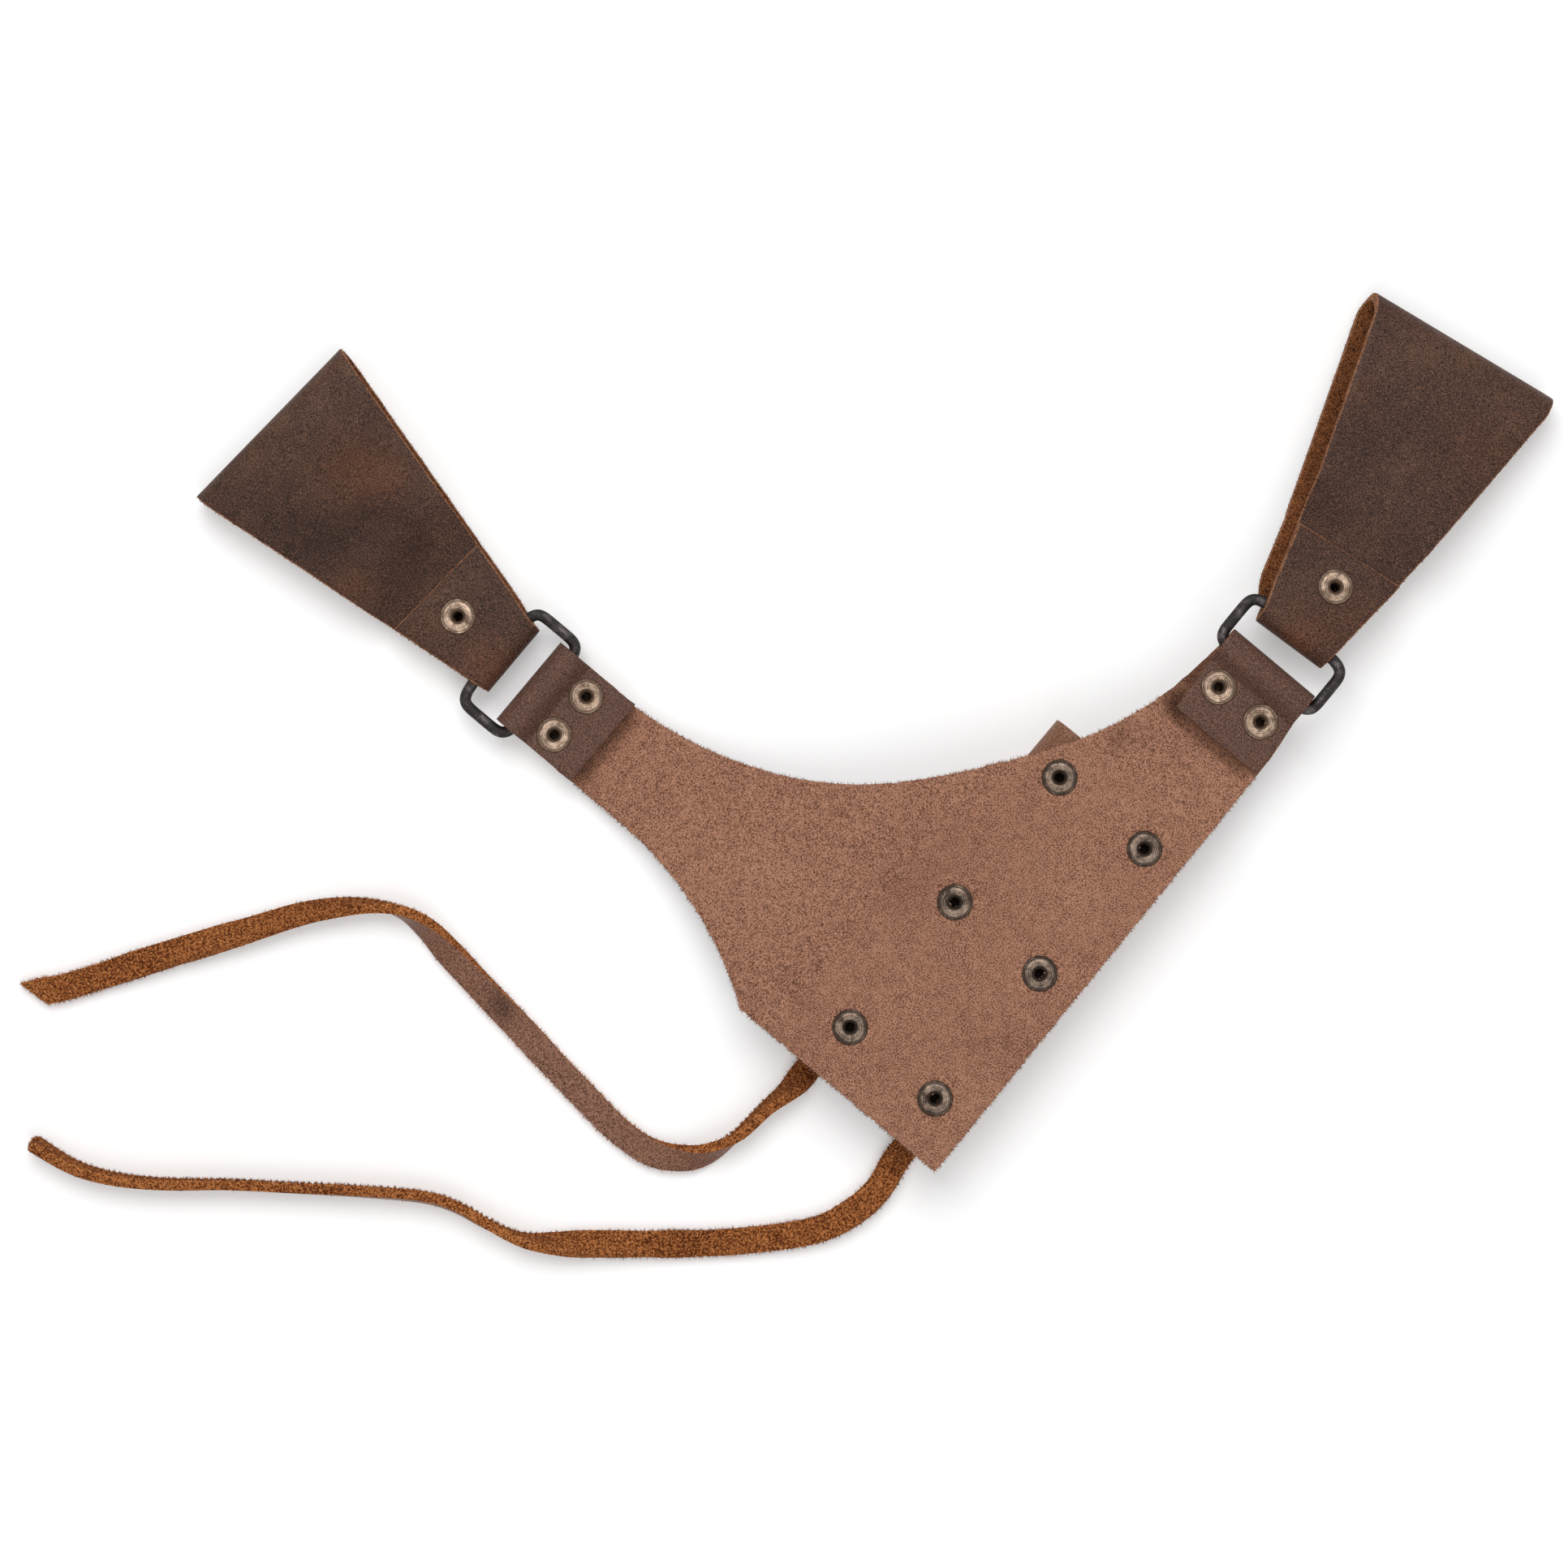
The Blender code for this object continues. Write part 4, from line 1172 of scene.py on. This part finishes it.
def makeLoop(side):
    shape = sheetAlong(loopStations(side), loop["columns"])
    body = side + "_loop_body"
    faceOut(shape, loopFrame(side).to_3x3() @ up)
    for vert in shape.verts:
        if vert.is_boundary:
            places = [vert.co + Vector((axis, 0, 0)) for axis in range(3)]
            vert.co += Vector([wander(place, *loop["edgeWave"]) for place in places])
    spots = edgeSpots(shape, loop["edgeFibres"], leather["thickness"])
    makeFibres(side + "BeltLoopFibres", spots, body, "cutEdge", loop["fibreLength"])
    for label in ("warm", "dark", "pale"):
        stain(shape, loopFrame(side), label, loops[side][label])
    punchHoles(shape, [side + "_loop_rivet"], rivet["hole"])
    finishSheet(side + "_belt_loop", shape, body, loop)


for side in ("left", "right"):
    makeLoop(side)
print("belt loops folded")

# rings: rounded oblong of round wire
ringLow, ringHigh = boxCorners("left_ring")
ring = {"wire": ringHigh.z - ringLow.z, "squareness": 6, "points": 120, "sides": 20}
ring["halfHeight"] = (ringHigh.x - ringLow.x - ring["wire"]) / 2
ring["halfWidth"] = (ringHigh.y - ringLow.y - ring["wire"]) / 2
ring["hemReach"] = leftHinge.x - (ringLow.x + ringHigh.x) / 2


def makeRing(side):
    start = hingeSpot(side + "_ring_hinge")
    out = (hingeSpot(side + "_loop_hinge") - start).normalized()
    across = -Vector(joints[side + "_ring_hinge"]["axis"])
    place = strapFrame(start, across, out.cross(across))
    centres = []
    power = 2 / ring["squareness"]
    for i in range(ring["points"]):
        angle = 2 * math.pi * i / ring["points"]
        cosine, sine = math.cos(angle), math.sin(angle)
        x = ring["hemReach"] + ring["halfHeight"] * math.copysign(abs(cosine) ** power, cosine)
        y = ring["halfWidth"] * math.copysign(abs(sine) ** power, sine)
        centres.append(Vector((x, y, 0)))
    shape = bmesh.new()
    bmesh.ops.create_circle(shape, segments=ring["sides"], radius=ring["wire"] / 2)
    verts, edges = list(shape.verts), list(shape.edges)
    firstEdges = edges
    section = [vert.co.copy() for vert in verts]
    for i, centre in enumerate(centres):
        ahead = (centres[(i + 1) % len(centres)] - centres[i - 1]).normalized()
        aside = ahead.cross(up)
        if i:
            verts, edges = extrudeRow(shape, edges)
        for vert, spot in zip(verts, section):
            vert.co = place @ (centre + aside * spot.x + up * spot.y)
    bmesh.ops.bridge_loops(shape, edges=firstEdges + edges)
    bmesh.ops.recalc_face_normals(shape, faces=shape.faces)
    finishPiece(side + "_ring", shape, side + "_ring_body", ["ringSteel"])


for side in ("left", "right"):
    makeRing(side)
print("rings bent")

# rivets: turned posts and caps, radius and height in mm, each set on its leather
postProfile = (
    (1.15, -5.5), (1.15, -0.9), (1.25, -0.3), (1.5, 0.1), (1.9, 0.38), (2.2, 0.5), (2.45, 0.55),
    (2.7, 0.58), (2.95, 0.58), (3.2, 0.56), (3.45, 0.52), (3.7, 0.4), (3.86, 0.3), (3.98, 0.36),
    (4.16, 0.42), (4.36, 0.34), (4.5, 0.12), (4.42, -0.1), (4, -0.16), (1.9, -0.16), (1.9, -5.5),
)
capProfile = (
    (1.95, 0), (4.2, 0), (4.4, -0.2), (4.36, -0.6), (4.1, -1.05), (3.5, -1.5), (2.6, -1.82),
    (1.4, -1.97), (0, -2), (0, -1.1), (1.95, -1.1),
)
# painted sheen and shade by radius: bright rings stand for the turned flange's glints, low values darken
# the bore and the groove
sheenByRadius = (
    (0, 0), (1.25, 0), (1.9, 0.45), (2.2, 0.95), (2.45, 0.7), (2.7, 1), (2.95, 0.65), (3.2, 1),
    (3.45, 0.75), (3.7, 0.9), (3.86, 0.15), (4.16, 0.75), (4.5, 0.25),
)


def sheenAt(radius):
    for (inner, low), (outer, high) in zip(sheenByRadius, sheenByRadius[1:]):
        if radius <= outer:
            return low + (high - low) * (radius - inner) / (outer - inner)
    return sheenByRadius[-1][1]


def turnedShape(profile):
    shape = bmesh.new()
    verts = [shape.verts.new((radius * mm, 0, height * mm)) for radius, height in profile]
    edges = [shape.edges.new(pair) for pair in zip(verts, verts[1:] + verts[:1])]
    bmesh.ops.spin(
        shape, geom=verts + edges, cent=(0, 0, 0), axis=(0, 0, 1), dvec=(0, 0, 0),
        angle=2 * math.pi, steps=rivet["steps"], use_merge=True,
    )
    bmesh.ops.remove_doubles(shape, verts=shape.verts, dist=rivet["merge"])
    # painted sheen value for each point, from its radius
    shine = shape.verts.layers.float.new("shine")
    for vert in shape.verts:
        vert[shine] = sheenAt(vert.co.xy.length / mm)
    return shape


def setRivetPiece(node, one, profile, seat):
    lean = up.rotation_difference(one["normal"]).to_matrix().to_4x4()
    shape = turnedShape(profile)
    bmesh.ops.transform(shape, matrix=Matrix.Translation(seat) @ lean, verts=shape.verts)
    bmesh.ops.recalc_face_normals(shape, faces=shape.faces)
    finishPiece(node, shape, one["body"], [one["finish"]])


def makeRivet(name):
    one = rivets[name]
    normal = one["normal"]
    low, high = boxCorners(name + "_post")
    lean = normal.angle(up)
    length = (high.z - low.z - rivet["flangeRadius"] * math.sin(lean)) / math.cos(lean)
    seat = one["middle"] + normal * (length / 2 - rivet["flange"] - rivet["sink"])
    setRivetPiece(name + "_post", one, postProfile, seat)
    low, high = boxCorners(name + "_cap")
    seat = (low + high) / 2 + normal * (rivet["capHalf"] + rivet["sink"])
    setRivetPiece(name + "_cap", one, capProfile, seat)


for name in rivets:
    makeRivet(name)
print("rivets set")

# pale floor that reads white and keeps the shadow
table = {"size": 4, "drop": 0.15 * mm, "roughness": 0.9, "lift": 0.22}
floorShape = bmesh.new()
bmesh.ops.create_grid(floorShape, x_segments=1, y_segments=1, size=table["size"])
floorMesh = bpy.data.meshes.new("tableTop")
floorShape.to_mesh(floorMesh)
floorShape.free()
floor = bpy.data.objects.new("tableTop", floorMesh)
floor.location.z = -table["drop"]
bpy.context.collection.objects.link(floor)


def seenRays(tree):
    # camera, glossy and transmission rays, which meet a plain white surround
    rays = addNode(tree, "LightPath")
    seen = mathNode(tree, "MAXIMUM", rays.outputs["Is Camera Ray"], rays.outputs["Is Glossy Ray"])
    return mathNode(tree, "MAXIMUM", seen, rays.outputs["Is Transmission Ray"])


def makeTableWhite():
    # white paint, lifted a little where the camera sees it so that only the shadow is grey
    material, tree, shader = startMaterial("tableWhite")
    shader.inputs["Base Color"].default_value = (1, 1, 1, 1)
    shader.inputs["Roughness"].default_value = table["roughness"]
    shader.inputs["Specular IOR Level"].default_value = 0.0
    shader.inputs["Emission Color"].default_value = (1, 1, 1, 1)
    glow = mapRange(tree, seenRays(tree), 0, 1, 0, table["lift"])
    tree.links.new(glow, shader.inputs["Emission Strength"])
    return material


floorMesh.materials.append(makeTableWhite())

lights = {
    "aim": (0.03, -0.07, 0),
    "keyLight": {"spot": (-0.7, 0.5, 1.6), "size": 1.4, "power": 18},
    "fillLight": {"spot": (0.9, -0.7, 1.5), "size": 1.6, "power": 7},
    "surround": (0.33, 1),
}


def addLight(name):
    one = lights[name]
    data = bpy.data.lights.new(name, "AREA")
    data.shape = "DISK"
    data.size = one["size"]
    data.energy = one["power"]
    light = bpy.data.objects.new(name, data)
    light.location = one["spot"]
    ahead = Vector(lights["aim"]) - Vector(one["spot"])
    light.rotation_euler = ahead.to_track_quat("-Z", "Y").to_euler()
    bpy.context.collection.objects.link(light)


addLight("keyLight")
addLight("fillLight")
world = bpy.data.worlds.new("studio")
world.use_nodes = True
bpy.context.scene.world = world
tree = world.node_tree
background = tree.nodes["Background"]
strength = mapRange(tree, seenRays(tree), 0, 1, *lights["surround"])
tree.links.new(strength, background.inputs["Strength"])
background.inputs["Color"].default_value = (1, 1, 1, 1)
bpy.context.scene.view_settings.view_transform = "Standard"
print("lights set")
